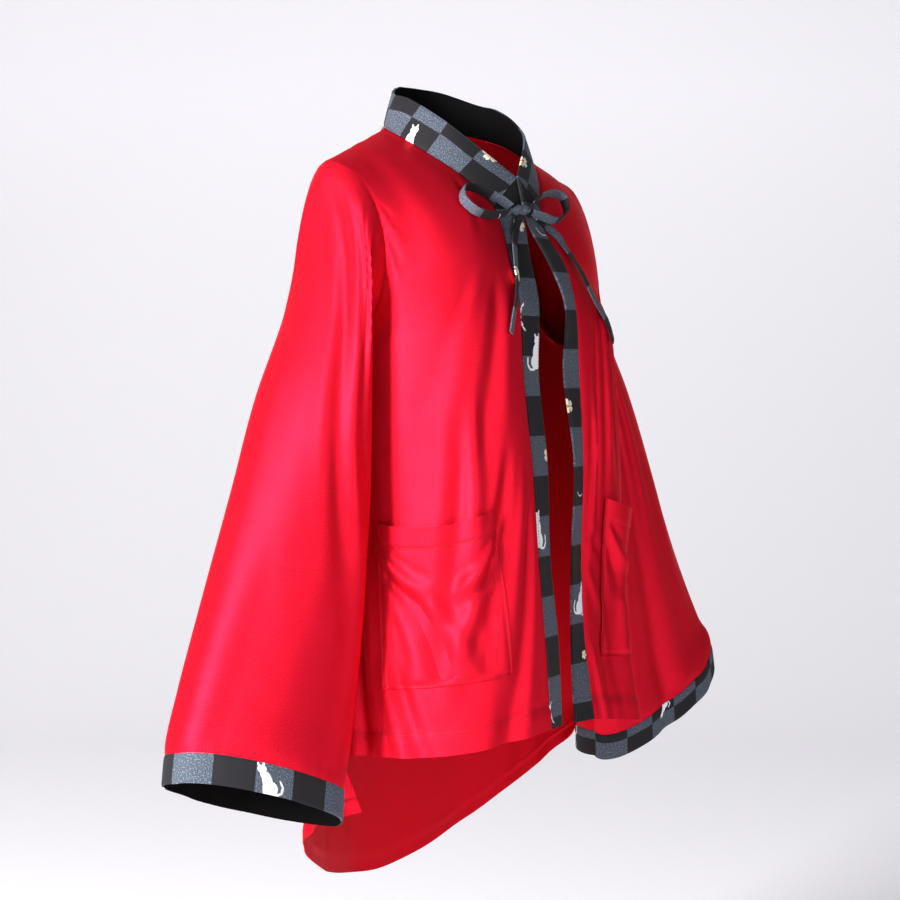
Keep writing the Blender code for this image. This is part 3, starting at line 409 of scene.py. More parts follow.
# the folds that the rings carry; the finer creases come later
SLEEVE_FOLDS = {
    RIGHT: (
        (0.13, 0.25, 0.10, 1.10, 0.028, -0.10),
        (0.21, 0.12, 0.19, 1.10, 0.030, 0.11),
        (0.31, 0.20, 0.30, 1.10, 0.032, -0.12),
        (0.40, 0.08, 0.39, 1.00, 0.028, 0.10),
        (0.66, 0.15, 0.68, 1.10, 0.035, 0.60),
        (0.79, 0.22, 0.82, 1.10, 0.035, -0.55),
    ),
    LEFT: (
        (0.16, 0.22, 0.13, 1.10, 0.030, 0.35),
        (0.27, 0.12, 0.25, 1.10, 0.032, -0.40),
        (0.37, 0.18, 0.37, 1.10, 0.030, 0.35),
        (0.62, 0.14, 0.62, 1.10, 0.035, -0.60),
        (0.74, 0.20, 0.77, 1.10, 0.035, 0.60),
    ),
}

# %% Surface of a sleeve
# The armhole's inward bow reaches this far down; cloth hangs from its front at this turn, over this reach
INWARD_REACH = 14
HANG_AT, HANG_REACH = 0.375, 0.085


def sleeve_table(side):
    """The rings of a sleeve, with the armhole as the first."""
    top, under, front, back = ARMHOLE[side]
    return columns(SLEEVE_HEAD, ((0, *top, *under, -front[1], back[1], 0, 0, 0), *SLEEVE_ROWS[side]))


SLEEVE = {side: sleeve_table(side) for side in SIDES}


def sleeve_surface(side, along, turn):
    """Middle surface of a sleeve: along 0 is the armhole, 100 the cuff seam; turn runs 0 to 1 round it."""
    table = SLEEVE[side]
    out, under = (read(table, f"{fold}_x {fold}_y {fold}_z", along) for fold in ("out", "under"))
    front, back, lift, drop, corner = np.moveaxis(read(table, "front back lift drop corner", along), -1, 0)[..., None]
    angle = turn * 2 * math.pi
    c, s = np.cos(angle)[..., None], np.sin(angle)[..., None]
    # near the armhole the ring also bows inward, as the armhole does
    inward = np.clip(1 - along / INWARD_REACH, 0, 1)[..., None] ** 2
    bow_front = np.concatenate([ARMHOLE[side][2][0] * inward, -front, lift], axis=-1)
    bow_back = np.concatenate([ARMHOLE[side][3][0] * inward, back, -drop], axis=-1)
    middle = (out + under) / 2
    point = middle + (out - under) / 2 * c + np.where(s >= 0, bow_front, bow_back) * np.abs(s)
    point = point - bell(turn - HANG_AT, HANG_REACH)[..., None] * corner * np.array([1, 1, 0])
    height = fold_height(SLEEVE_FOLDS[side], turn, along / 100)
    # the folds stand out of the ring, and less up or down
    point = point + unit((point - middle) * np.array([1, 1, 0.3])) * height[..., None]
    return point * MIRROR[side]


rim = sleeve_surface(RIGHT, np.full((1, 73), 105.0), np.linspace(0, 1, 73)[None])[0]
print("right sleeve opens", round(float(lengths(rim)[-1]), 1), "cm round")

# %% [markdown]
# ## The neck band and the collar
#
# The checked band is a doubled strip sewn to each front edge, and at the neck it goes on as a standing
# collar whose ends cross under the bow. Each is a ruled surface: straight from its seam to its free edge.
# That is how a firm folded strip behaves, and it needs only the two edges.

# %% Surfaces of band and collar
# Top edge of the collar, on to the crossing at the front
COLLAR_TOP = columns("turn x y z", (
    (0, 0.0, 6.9, 4.3),
    (14, 3.3, 6.1, 4.0),
    (25, 5.8, 3.9, 2.9),
    (38.5, 6.2, 1.2, 2.1),
    (52, 5.7, -2.0, 0.3),
    (65.5, 4.0, -4.6, -2.0),
    (75, 0.15, -7.3, -5.7),
))
CROSSING_TURN, BAND_TOP = 75, 33
# The collar turns this far for each station of the front seam below it
TURN_PER_STATION = 1.5


def neckband_surface(side, station, share):
    """Middle surface of a front band: share 0 at the seam with the panel, 1 at its free edge."""
    table = FRONT[side]
    seam = read(table, "seam_x seam_y seam_z", station)
    keep = table["station"] >= BAND_TOP
    edge = read({name: values[keep] for name, values in table.items()}, "edge_x edge_y edge_z", station)
    return (seam + (edge - seam) * share[..., None]) * MIRROR[side]


def collar_surface(turn, share):
    """Middle surface of the collar: turn runs from the right front end over the back to the left one."""
    reach = np.abs(turn)
    back = read(NECK, "x y z", reach)
    front = read(FRONT[LEFT], "seam_x seam_y seam_z", (reach - SHOULDER_TURN) / TURN_PER_STATION)
    base = np.where((reach <= SHOULDER_TURN)[..., None], back, front)
    top = read(COLLAR_TOP, "x y z", reach)
    return (base + (top - base) * share[..., None]) * np.where(turn[..., None] < 0, MIRROR[RIGHT], MIRROR[LEFT])


print("collar's back edge stands", round(COLLAR_TOP["z"][0] - NECK["z"][0], 1), "cm above its seam")

# %% [markdown]
# ## Creases
#
# Worn knit shows soft drag lines where it hangs from a seam, and a pocket or a sleeve's weight pulls more.
# A sculpting brush or a cloth simulation would do, but the lines have to lie where this coat has them.
# Each row of a crease table is therefore one ridge (depth above zero) or trough (below zero) on the flat
# panel: start, end, bow, half widths and depth, with open_end 1 where it runs out over the border.

# %% One panel's creases
# Limits, along a crease, between which it fades in and out, and the dip of the cloth beside it: how deep,
# how many half widths away, and over how many
FADE_IN, FADE_OUT = (-0.06, 0.22), (0.62, 1.06)
DIP_DEPTH, DIP_AWAY, DIP_REACH = 0.30, 1.9, 0.9


def creases(rows, across, down, flat):
    """Height of all of a panel's creases at the given shares; flat is the panel's flat width and length."""
    total = np.zeros_like(across)
    wide, long = flat
    for across_0, down_0, across_1, down_1, bow, half_0, half_1, depth, open_end in rows:
        x, y = across * wide - across_0 * wide, down * long - down_0 * long
        dx, dy = (across_1 - across_0) * wide, (down_1 - down_0) * long
        length = math.hypot(dx, dy)
        along = (x * dx + y * dy) / length**2
        aside = (x * dy - y * dx) / length - bow * 4 * along * (1 - along)
        half = half_0 + (half_1 - half_0) * np.clip(along, 0, 1)
        fade = step(*FADE_IN, along)
        if not open_end:
            fade = fade * (1 - step(*FADE_OUT, along))
        reach = aside / half
        total += depth * fade * (bell(reach) - DIP_DEPTH * bell(np.abs(reach) - DIP_AWAY, DIP_REACH))
    return total


print("a crease fades in:", np.round(step(0, 1, np.linspace(0, 1, 5)), 2))

# %% [markdown]
# ## Unevenness and puckers
#
# No stretch of cloth is quite smooth, and a row of sewing gathers the cloth beside it a little. Both could
# be painted as bump, but they are real form at this size, so the outline and the light follow them.
# Waves of mixed pitch from a fixed seed give the same cloth on every run.

# %% Slow waves, puckers, rolled seams and turned hems
# How many waves are laid over one another, and about a full turn in radians
WAVES, FULL_TURN = 14, 6.3


def slow_waves(across, down, flat, size, height, seed):
    """Faint uneven waves, so that no stretch of cloth is perfectly smooth."""
    rng = np.random.default_rng(seed)
    x, y = across * flat[0], down * flat[1]
    total = np.zeros_like(x)
    for _ in range(WAVES):
        angle = rng.uniform(-0.9, 0.9)
        pitch = size * rng.uniform(0.6, 1.9)
        run = x * math.cos(angle) + y * math.sin(angle) * 0.45
        total += np.sin(run * 2 * math.pi / pitch + rng.uniform(0, FULL_TURN))
    return total * height / 4


def puckers(distance, position, pitch, height, seed, reach=1.1):
    """Short gathers that a row of sewing draws up beside it."""
    a, b = np.random.default_rng(seed).uniform(0, FULL_TURN, 2)
    wave = np.sin(position * 2 * math.pi / pitch + a + 0.9 * np.sin(position * 1.3 + b))
    swell = 0.55 + 0.45 * np.sin(position * 0.47 + b)
    return height * wave * swell * bell(distance, reach)


def seam_roll(distance, depth=0.07, reach=0.30):
    """The dip of cloth beside a seam."""
    return -depth * bell(distance, reach)


def turned_hem(distance, depth, rise, dent, fade=0.10, beside=0.06):
    """The step of cloth that is turned up to a depth, and the dent along its stitching."""
    return rise * step(depth + fade, depth - 0.02, distance) + seam_roll(distance - depth - beside, dent, 0.12)

# %% [markdown]
# ## Cloth as a thin wall
#
# Cloth has two faces and an edge. A Solidify modifier could thicken a single sheet, but then the folded
# rims and the inner face could not have their own shapes. So each cloth is a closed shell between an outer
# and an inner grid. It also carries a chart: each corner's place on the flat cloth in centimetres, kept as
# a UV map, which the knit and the print read, so no pattern stretches where the cloth is bent.

# %% Eased form and outward normals
def eased(grid, rows, weight):
    """Round off a panel's form down its length, by weight, over a number of rows either way."""
    steps = np.arange(-rows, rows + 1)
    kernel = bell(steps, rows / 2)
    kernel /= kernel.sum()
    padded = np.concatenate([2 * grid[:1] - grid[rows:0:-1], grid, 2 * grid[-1:] - grid[-2 : -rows - 2 : -1]])
    soft = sum(k * padded[i : i + len(grid)] for i, k in enumerate(kernel))
    return grid + (soft - grid) * weight[..., None]


def outward_normals(grid, ring=False):
    """Unit normals of a grid of points that look away from the upright axis, or out of a ring."""
    if ring:
        turned = np.concatenate([grid[:, -2:-1], grid, grid[:, 1:2]], axis=1)
        across = (turned[:, 2:] - turned[:, :-2]) / 2
        away = grid - grid[:, :-1].mean(axis=1, keepdims=True)
    else:
        across = np.gradient(grid, axis=1)
        away = grid * np.array([1, 1, 0])
    normal = unit(np.cross(across, np.gradient(grid, axis=0)))
    return normal if np.sum(normal * away) > 0 else -normal

# %% Chart of the flat cloth
CHART, MOTIF = "chart", "motif"


def chart_of(grid):
    """Lengths along the cloth, across and down, in centimetres."""
    return np.stack([lengths(grid, 1), lengths(grid, 0)], axis=-1)


def borders(chart):
    """Distances from the first and the last column, and from the first and the last row."""
    across, down = chart[..., 0].copy(), chart[..., 1].copy()
    return across, across[:, -1:] - across, down, down[-1:] - down

# %% [markdown]
# ## Where the small prints sit
#
# The checked cloth is printed with little cats and blossoms, here and there. An image could carry them,
# but shapes worked out from ovals stay sharp at any distance. A second UV map tells every face where it
# lies on the nearest motif, and far from all of them it points to empty cloth.

# %% Places of the motifs
# A motif's row: its place u and v, kind, size, turn in degrees, and 1 if it looks the other way. Each kind is
# drawn on empty cloth of its own, KIND_STEP away from the next, and FAR_OFF there is none.
KIND_STEP, FAR_OFF, MOTIF_REACH = 10.0, -90.0, 2.0


def motif_places(flat, motifs):
    """For each face, where its corners lie on the nearest motif's own chart, or far off it."""
    centre = flat.mean(axis=1)
    result = np.full(flat.shape, FAR_OFF)
    best = np.full(len(flat), np.inf)
    for u, v, kind, size, turn, flip in motifs:
        gap = np.linalg.norm(centre - np.array([u, v]), axis=1)
        near = (gap < best) & (gap < size * MOTIF_REACH)
        best = np.where(near, gap, best)
        x, y = np.moveaxis((flat[near] - np.array([u, v])) / size, -1, 0)
        c, s = math.cos(math.radians(turn)), math.sin(math.radians(turn))
        # charts run down the cloth, motifs stand up
        result[near] = np.stack([(x * c + y * s) * (-1 if flip else 1) + KIND_STEP * kind, x * s - y * c], axis=-1)
    return result

# %% Faces of a shell
def shell_faces(rows, cols, ring):
    """Corner numbers of a shell's faces, their places on the chart, and which faces are the inner ones."""
    wide = cols - 1 if ring else cols
    count = rows * wide
    r, c = (a.ravel() for a in np.meshgrid(np.arange(rows - 1), np.arange(cols - 1), indexing="ij"))

    def point(a, b, under=0):
        return a * wide + b % wide + under * count

    corners = [(r, c), (r, c + 1), (r + 1, c + 1), (r + 1, c)]
    faces = [np.stack([point(a, b) for a, b in corners], -1)]
    faces.append(np.stack([point(a, b, 1) for a, b in corners[::-1]], -1))
    places = [np.stack([a * cols + b for a, b in way], -1) for way in (corners, corners[::-1])]
    k = np.arange(cols - 1)
    rims = [(0 * k, k + 1, 0 * k, k), (0 * k + rows - 1, k, 0 * k + rows - 1, k + 1)]
    if not ring:
        k = np.arange(rows - 1)
        rims += [(k, 0 * k, k + 1, 0 * k), (k + 1, 0 * k + cols - 1, k, 0 * k + cols - 1)]
    for a, b, d, e in rims:
        faces.append(np.stack([point(a, b), point(d, e), point(d, e, 1), point(a, b, 1)], -1))
        places.append(np.stack([a * cols + b, d * cols + e, d * cols + e, a * cols + b], -1))
    under = np.zeros(sum(len(f) for f in faces), int)
    under[len(faces[0]) : 2 * len(faces[0])] = 1
    return np.concatenate(faces), np.concatenate(places), under

# %% Mesh of a shell
# Edges sharper than this stay sharp in the shading
SHARP = math.radians(60)


def add_object(name, data):
    """Put a mesh, lamp or camera in the scene."""
    made = bpy.data.objects.new(name, data)
    bpy.context.scene.collection.objects.link(made)
    return made


def shell(name, outer, inner, chart, cloth, ring=False, motifs=(), inside=None):
    """A closed thin shell. For a ring the last column repeats the first; inside is the inner face's material."""
    faces, places, under = shell_faces(*outer.shape[:2], ring)
    grids = [g[:, :-1] if ring else g for g in (outer, inner)]
    verts = np.concatenate([g.reshape(-1, 3) for g in grids]) * CM
    a, b, d, e = (verts[faces[:, i]] for i in range(4))
    if np.sum(a * np.cross(b, d)) + np.sum(a * np.cross(d, e)) < 0:
        faces, places = faces[:, ::-1], places[:, ::-1]
    mesh = bpy.data.meshes.new(name)
    mesh.from_pydata(verts, [], faces)
    flat = chart.reshape(-1, 2)[places]
    layers = {CHART: flat}
    if motifs is not None:
        layers[MOTIF] = motif_places(flat, motifs)
    for layer, spots in layers.items():
        mesh.uv_layers.new(name=layer).data.foreach_set("uv", spots.ravel())
    mesh.polygons.foreach_set("use_smooth", np.ones(len(faces), bool))
    mesh.materials.append(cloth)
    if inside is not None:
        mesh.materials.append(inside)
        mesh.polygons.foreach_set("material_index", under)
    mesh.set_sharp_from_angle(angle=SHARP)
    print(name, len(faces), "faces")
    return add_object(name, mesh)

# %% Lay a cloth on its grid
# Thickness of a single cloth in centimetres
THIN = 0.10


def lay(name, grid, height, chart, cloth, inside=None, thin=THIN, ring=False, motifs=None, normal=None):
    """Make a shell whose outer face rises by height, and keep that face for pieces that lie on it."""
    if normal is None:
        normal = outward_normals(grid, ring)
    outer, inner = (grid + normal * (height + half)[..., None] for half in (thin / 2, -thin / 2))
    return shell(name, outer, inner, chart, cloth, ring, motifs, inside), outer

# %% [markdown]
# ## Nodes in few words
#
# Every finish here is a Principled material fed by procedural nodes. Adding each node by hand in the
# editor is fine for one material. For several, small helpers keep the script readable: one adds a node,
# one does arithmetic, one mixes two colours, and one wraps an effect in a group with named sockets.

# %% A new material and its nodes
def feed(tree, made, inputs):
    """Give a node's inputs, by name or number, their values or links."""
    for key, value in inputs.items():
        if isinstance(value, bpy.types.NodeSocket):
            tree.links.new(value, made.inputs[key])
        else:
            made.inputs[key].default_value = value


def node(tree, kind, inputs=None, **settings):
    """Add a node; settings set its properties."""
    made = tree.nodes.new(kind)
    for key, value in settings.items():
        setattr(made, key, value)
    feed(tree, made, inputs or {})
    return made


def new_material(name):
    """A node material with a Principled shader on its output."""
    cloth = bpy.data.materials.new(name)
    cloth.use_nodes = True
    tree = cloth.node_tree
    tree.nodes.clear()
    shader = node(tree, "ShaderNodeBsdfPrincipled")
    node(tree, "ShaderNodeOutputMaterial", {0: shader.outputs[0]})
    return cloth, tree, shader

# %% Arithmetic, colours, charts and noise
def maths(tree, operation, *values):
    """One step of arithmetic."""
    return node(tree, "ShaderNodeMath", dict(enumerate(values)), operation=operation).outputs[0]


def map_range(tree, value, *limits):
    """Stretch a value from two limits to 0 and 1, or to two more limits."""
    return node(tree, "ShaderNodeMapRange", dict(enumerate((value, *limits)))).outputs[0]


def mix_colour(tree, share, first, second):
    """Mix two colours by a share."""
    first, second = (c if isinstance(c, bpy.types.NodeSocket) else (*c, 1) for c in (first, second))
    return node(tree, "ShaderNodeMix", {0: share, 6: first, 7: second}, data_type="RGBA").outputs[2]


def uv_axes(tree, name):
    """The two lengths of a chart."""
    split = node(tree, "ShaderNodeSeparateXYZ", {0: node(tree, "ShaderNodeUVMap", uv_map=name).outputs[0]})
    return split.outputs[0], split.outputs[1]


def cloth_point(tree, u, v):
    """A chart place as a point, for textures."""
    return node(tree, "ShaderNodeCombineXYZ", {0: u, 1: v}).outputs[0]


def noise(tree, where, scale, detail=2.0, roughness=0.5):
    """Soft noise at a point; the scale may be a group's own input."""
    inputs = {"Vector": where, "Scale": scale, "Detail": detail, "Roughness": roughness}
    return node(tree, "ShaderNodeTexNoise", inputs).outputs["Fac"]

# %% A group with named sockets
def start_group(name, inputs, outputs):
    """A shader node group; returns its tree, its given values and its output node."""
    tree = bpy.data.node_groups.new(name, "ShaderNodeTree")
    for label, value in inputs.items():
        tree.interface.new_socket(label, in_out="INPUT", socket_type="NodeSocketFloat").default_value = value
    for label in outputs:
        tree.interface.new_socket(label, in_out="OUTPUT", socket_type="NodeSocketFloat")
    return tree, node(tree, "NodeGroupInput").outputs, node(tree, "NodeGroupOutput")


def place_group(tree, group, **values):
    """Put a group in a material, with its own values."""
    return node(tree, "ShaderNodeGroup", values, node_tree=group).outputs


def bump(tree, height, strength, distance):
    """Let a height change the light on a surface."""
    return node(tree, "ShaderNodeBump", {"Height": height, "Strength": strength, "Distance": distance}).outputs[0]

# %% [markdown]
# ## Red knit
#
# The coat is a fine satin-faced knit. Close up there are columns of tiny loops, from a step away a pink
# grain on deep red, and its highlights are broad and red, as on satin, hardly white. A real loop is
# under a millimetre, far too small to model, so the loops are a bump on the chart. The red highlight is
# the metallic share of the shader, which colours its own reflection. The wrong side is duller, and its
# red is also darkened as painted shade, since it mostly lies in the coat's own shadow.

# %% Loops and grain of the knit
def knit_group():
    """Shade, grain and height of a fine knit, from its chart."""
    tree, given, out = start_group("Knit", {"Loop": 0.09, "Grain": 12.0}, ("Shade", "Grain", "Height"))
    u, v = uv_axes(tree, CHART)
    where = cloth_point(tree, u, v)
    grain = noise(tree, where, given["Grain"], 3.0, 0.65)
    patch = noise(tree, where, 0.35, 2.0)
    shade = maths(tree, "ADD", maths(tree, "MULTIPLY", grain, 0.95), maths(tree, "MULTIPLY", patch, 0.05))

    def from_middle(value):
        return maths(tree, "ABSOLUTE", maths(tree, "SUBTRACT", maths(tree, "FRACT", value), 0.5))

    leg = from_middle(maths(tree, "DIVIDE", u, given["Loop"]))
    slant = maths(tree, "ADD", maths(tree, "DIVIDE", maths(tree, "MULTIPLY", v, 1.25), given["Loop"]), leg)
    loops = maths(tree, "MULTIPLY", maths(tree, "ADD", leg, from_middle(slant)), 0.5)
    height = maths(tree, "ADD", loops, maths(tree, "MULTIPLY", grain, 0.9))
    feed(tree, out, {"Shade": shade, "Grain": grain, "Height": height})
    return tree


KNIT = knit_group()
print("knit group has", len(KNIT.nodes), "nodes")

# %% Red cloth and its wrong side
def red_knit(name, deep, bright, satin):
    """Red knit between two reds; satin is how far its highlight keeps the cloth's colour."""
    cloth, tree, shader = new_material(name)
    knit = place_group(tree, KNIT)
    feed(tree, shader, {
        "Base Color": mix_colour(tree, map_range(tree, knit["Shade"], 0.34, 0.66), deep, bright),
        "Roughness": map_range(tree, knit["Grain"], 0.3, 0.7, 0.48, 0.56),
        "Metallic": satin,
        "Specular IOR Level": 0.25,
        "Specular Tint": (1.0, 0.12, 0.26, 1),
        "Normal": bump(tree, knit["Height"], 0.26, 0.0006),
    })
    return cloth


RED_CLOTH = red_knit("red_knit", (0.50, 0.0005, 0.003), (0.84, 0.016, 0.050), 0.70)
# the wrong side: duller, and its red darkened as painted shade for where it lies in shadow
RED_WRONG_SIDE_SHADED = red_knit("red_knit_wrong_side_painted_shade", (0.44, 0.0012, 0.005), (0.56, 0.004, 0.012), 0.15)
print(RED_CLOTH.name, "and", RED_WRONG_SIDE_SHADED.name)

# %% [markdown]
# ## Cats and blossoms
#
# The little figures are plain one-colour prints: a walking cat, a sitting cat, a bare tail where a seam
# cuts one off, and a five-petalled blossom. They are generic ones, each the union of a few ovals, and a
# blossom is a circle whose edge swings out five times. One group works them all out for every checked
# material.

# %% An oval and a cat
def squares(tree, x, y):
    """x squared plus y squared."""
    return maths(tree, "ADD", maths(tree, "MULTIPLY", x, x), maths(tree, "MULTIPLY", y, y))


def blob(tree, x, y, cx, cy, rx, ry, turn):
    """How far inside an oval a point lies: above zero is inside."""
    c, s = math.cos(math.radians(turn)), math.sin(math.radians(turn))
    dx, dy = maths(tree, "SUBTRACT", x, cx), maths(tree, "SUBTRACT", y, cy)
    along = maths(tree, "ADD", maths(tree, "MULTIPLY", dx, c), maths(tree, "MULTIPLY", dy, s))
    aside = maths(tree, "SUBTRACT", maths(tree, "MULTIPLY", dy, c), maths(tree, "MULTIPLY", dx, s))
    reach = squares(tree, maths(tree, "DIVIDE", along, rx), maths(tree, "DIVIDE", aside, ry))
    return maths(tree, "SUBTRACT", 1.0, reach)


# Each kind of cat, of ovals: centre, half sizes and turn, in a frame about two units high. Kind 2 is the blossom.
BLOSSOM = 2
CATS = {
    0: (  # walking, tail up
        (0.05, 0.00, 0.54, 0.22, 0), (-0.36, 0.02, 0.26, 0.27, 0), (0.42, 0.03, 0.28, 0.28, 0),
        (-0.60, 0.24, 0.17, 0.24, 35), (-0.74, 0.42, 0.23, 0.18, 6), (-0.88, 0.60, 0.055, 0.13, 14),
        (-0.68, 0.62, 0.055, 0.13, -12), (-0.62, -0.38, 0.07, 0.36, -22), (-0.36, -0.44, 0.07, 0.34, 6),
        (0.36, -0.44, 0.08, 0.34, -10), (0.60, -0.40, 0.07, 0.38, 20), (0.78, 0.20, 0.24, 0.065, 40),
        (0.98, 0.50, 0.065, 0.26, -6), (0.90, 0.80, 0.06, 0.14, 34),
    ),
    1: (  # sitting, tail curled up behind
        (0.12, -0.46, 0.42, 0.38, 0), (-0.02, -0.08, 0.29, 0.50, 10), (-0.18, 0.28, 0.20, 0.30, 20),
        (-0.26, 0.56, 0.26, 0.20, -6), (-0.42, 0.76, 0.06, 0.15, 18), (-0.14, 0.78, 0.06, 0.15, -14),
        (-0.28, -0.52, 0.075, 0.36, -4), (-0.12, -0.56, 0.07, 0.30, 4), (-0.34, -0.84, 0.13, 0.06, 0),
        (0.54, -0.76, 0.24, 0.065, 14), (0.80, -0.56, 0.07, 0.22, -24), (0.80, -0.24, 0.06, 0.20, 20),
    ),
    3: (  # a tail alone, for a cat that the seam cuts off
        (0.00, 0.00, 0.07, 0.34, 0), (-0.08, 0.42, 0.07, 0.26, 22), (-0.08, -0.42, 0.07, 0.26, -22),
        (-0.26, 0.74, 0.06, 0.20, 44), (-0.26, -0.74, 0.06, 0.20, -44),
    ),
}


def cat_shape(tree, x, y, ovals):
    """1 inside any of the ovals, else 0."""
    inside = blob(tree, x, y, *ovals[0])
    for oval in ovals[1:]:
        inside = maths(tree, "MAXIMUM", inside, blob(tree, x, y, *oval))
    return maths(tree, "GREATER_THAN", inside, 0.0)

# %% A blossom
def blossom_shape(tree, x, y):
    """Five notched petals round a middle."""
    angle = maths(tree, "ARCTAN2", y, x)
    wave = maths(tree, "ABSOLUTE", maths(tree, "COSINE", maths(tree, "MULTIPLY", angle, 2.5)))
    edge = maths(tree, "ADD", 0.30, maths(tree, "MULTIPLY", maths(tree, "POWER", wave, 0.55), 0.62))
    notch = maths(tree, "POWER", wave, 14.0)
    edge = maths(tree, "SUBTRACT", edge, maths(tree, "MULTIPLY", notch, 0.16))
    far = maths(tree, "SQRT", squares(tree, x, y))
    return maths(tree, "LESS_THAN", far, edge), far

# %% All motifs in one group
def motif_group():
    """Masks of the printed motifs: white cats, cream blossoms and their hearts."""
    tree, given, out = start_group("Small prints", {"Heart size": 0.17}, ("Cat", "Blossom", "Heart"))
    x, y = uv_axes(tree, MOTIF)
    cat = 0.0
    for kind, ovals in CATS.items():
        here = maths(tree, "SUBTRACT", x, KIND_STEP * kind)
        cat = maths(tree, "MAXIMUM", cat, cat_shape(tree, here, y, ovals))
    petals, far = blossom_shape(tree, maths(tree, "SUBTRACT", x, KIND_STEP * BLOSSOM), y)
    heart = maths(tree, "LESS_THAN", far, given["Heart size"])
    feed(tree, out, {"Cat": cat, "Blossom": petals, "Heart": heart})
    return tree


SMALL_PRINTS = motif_group()
print("print group has", len(SMALL_PRINTS.nodes), "nodes")

# %% [markdown]
# ## Checked cotton
#
# Bands, collar, cuffs and bow are a plain-woven cotton in squares of black and speckled slate, turned by
# one square from row to row. A checker texture would do for the squares, but arithmetic on the chart lets
# each piece start its squares where its own cut starts them. The slate's pale flecks are noise, cut off
# sharply, and a fine weave with some fuzz is its bump.

# %% Weave and fuzz
def weave_group():
    """Fuzz and height of a fine plain weave, from its chart."""
    tree, given, out = start_group("Weave", {"Thread": 0.07, "Fuzz": 12.0}, ("Fuzz", "Height"))
    u, v = uv_axes(tree, CHART)
    fuzz = noise(tree, cloth_point(tree, u, v), given["Fuzz"], 2.0)
    turns = [maths(tree, "DIVIDE", maths(tree, "MULTIPLY", way, 2 * math.pi), given["Thread"]) for way in (u, v)]
    weave = maths(tree, "MULTIPLY", *(maths(tree, "SINE", t) for t in turns))
    feed(tree, out, {"Fuzz": fuzz, "Height": maths(tree, "ADD", maths(tree, "MULTIPLY", weave, 0.25), fuzz)})
    return tree


WEAVE = weave_group()
BLACK_DARK, BLACK_LIGHT = (0.005, 0.0045, 0.006), (0.013, 0.012, 0.015)
SLATE_DARK, SLATE_LIGHT = (0.046, 0.056, 0.078), (0.150, 0.178, 0.225)
WHITE, CREAM, CREAM_HEART = (0.80, 0.81, 0.86), (0.76, 0.68, 0.54), (0.42, 0.28, 0.12)

# %% Squares, flecks and prints
# Side of a square in centimetres
SQUARE = 3.786


def checked_print(name, phase=(0.0, 0.0)):
    """Checked cotton; phase shifts the squares across and down."""
    cloth, tree, shader = new_material(name)
    u, v = uv_axes(tree, CHART)
    column, row = (
        maths(tree, "FLOOR", maths(tree, "DIVIDE", maths(tree, "ADD", way, shift), SQUARE))
        for way, shift in zip((u, v), phase)
    )
    slate = maths(tree, "FLOORED_MODULO", maths(tree, "ADD", column, row), 2.0)
    flecks = map_range(tree, noise(tree, cloth_point(tree, u, v), 7.5, 2.0, 0.6), 0.50, 0.64)
    weave, prints = place_group(tree, WEAVE), place_group(tree, SMALL_PRINTS)
    black_colour = mix_colour(tree, weave["Fuzz"], BLACK_DARK, BLACK_LIGHT)
    colour = mix_colour(tree, slate, black_colour, mix_colour(tree, flecks, SLATE_DARK, SLATE_LIGHT))
    colour = mix_colour(tree, prints["Cat"], colour, WHITE)
    colour = mix_colour(tree, prints["Blossom"], colour, mix_colour(tree, prints["Heart"], CREAM, CREAM_HEART))
    feed(tree, shader, {
        "Base Color": colour,
        "Roughness": 0.72,
        "Specular IOR Level": 0.24,
        "Sheen Weight": 0.02,
        "Sheen Roughness": 0.5,
        "Sheen Tint": (0.75, 0.85, 1.0, 1),
        "Normal": bump(tree, weave["Height"], 0.25, 0.0005),
    })
    return cloth

# %% [markdown]
# ## Black backing, deepened as painted shade
#
# Inside the collar and the cuffs the cloth is plain black, made darker than the printed black squares
# as painted shade, because that face lies in shade. It is the same weave without the print, a
# little rougher, because it never gets pressed on its face.

# %% Black cloth
def plain_black_shaded(name):
    """The black backing inside the collar and the cuffs, deepened as painted shade."""
    cloth, tree, shader = new_material(name)
    weave = place_group(tree, WEAVE, Fuzz=10.0)
    feed(tree, shader, {
        "Base Color": mix_colour(tree, weave["Fuzz"], (0.0012, 0.0011, 0.0013), (0.004, 0.0035, 0.004)),
        "Roughness": 0.9,
        "Specular IOR Level": 0.08,
        "Normal": bump(tree, weave["Height"], 0.2, 0.0004),
    })
    return cloth


# plain black, deepened below the printed black as painted shade for the inner faces
BLACK_INSIDE_SHADED = plain_black_shaded("black_backing_painted_shade")
print(BLACK_INSIDE_SHADED.name, "has", len(BLACK_INSIDE_SHADED.node_tree.nodes), "nodes")

# %% [markdown]
# ## Fronts
#
# The fronts roll in at their seams, and the hem is turned up and stitched about two centimetres above
# its edge. The turn-up could be a second strip. On a thin knit it shows only as a slight step and a
# dent along the stitching, so both are part of the panel's own height.

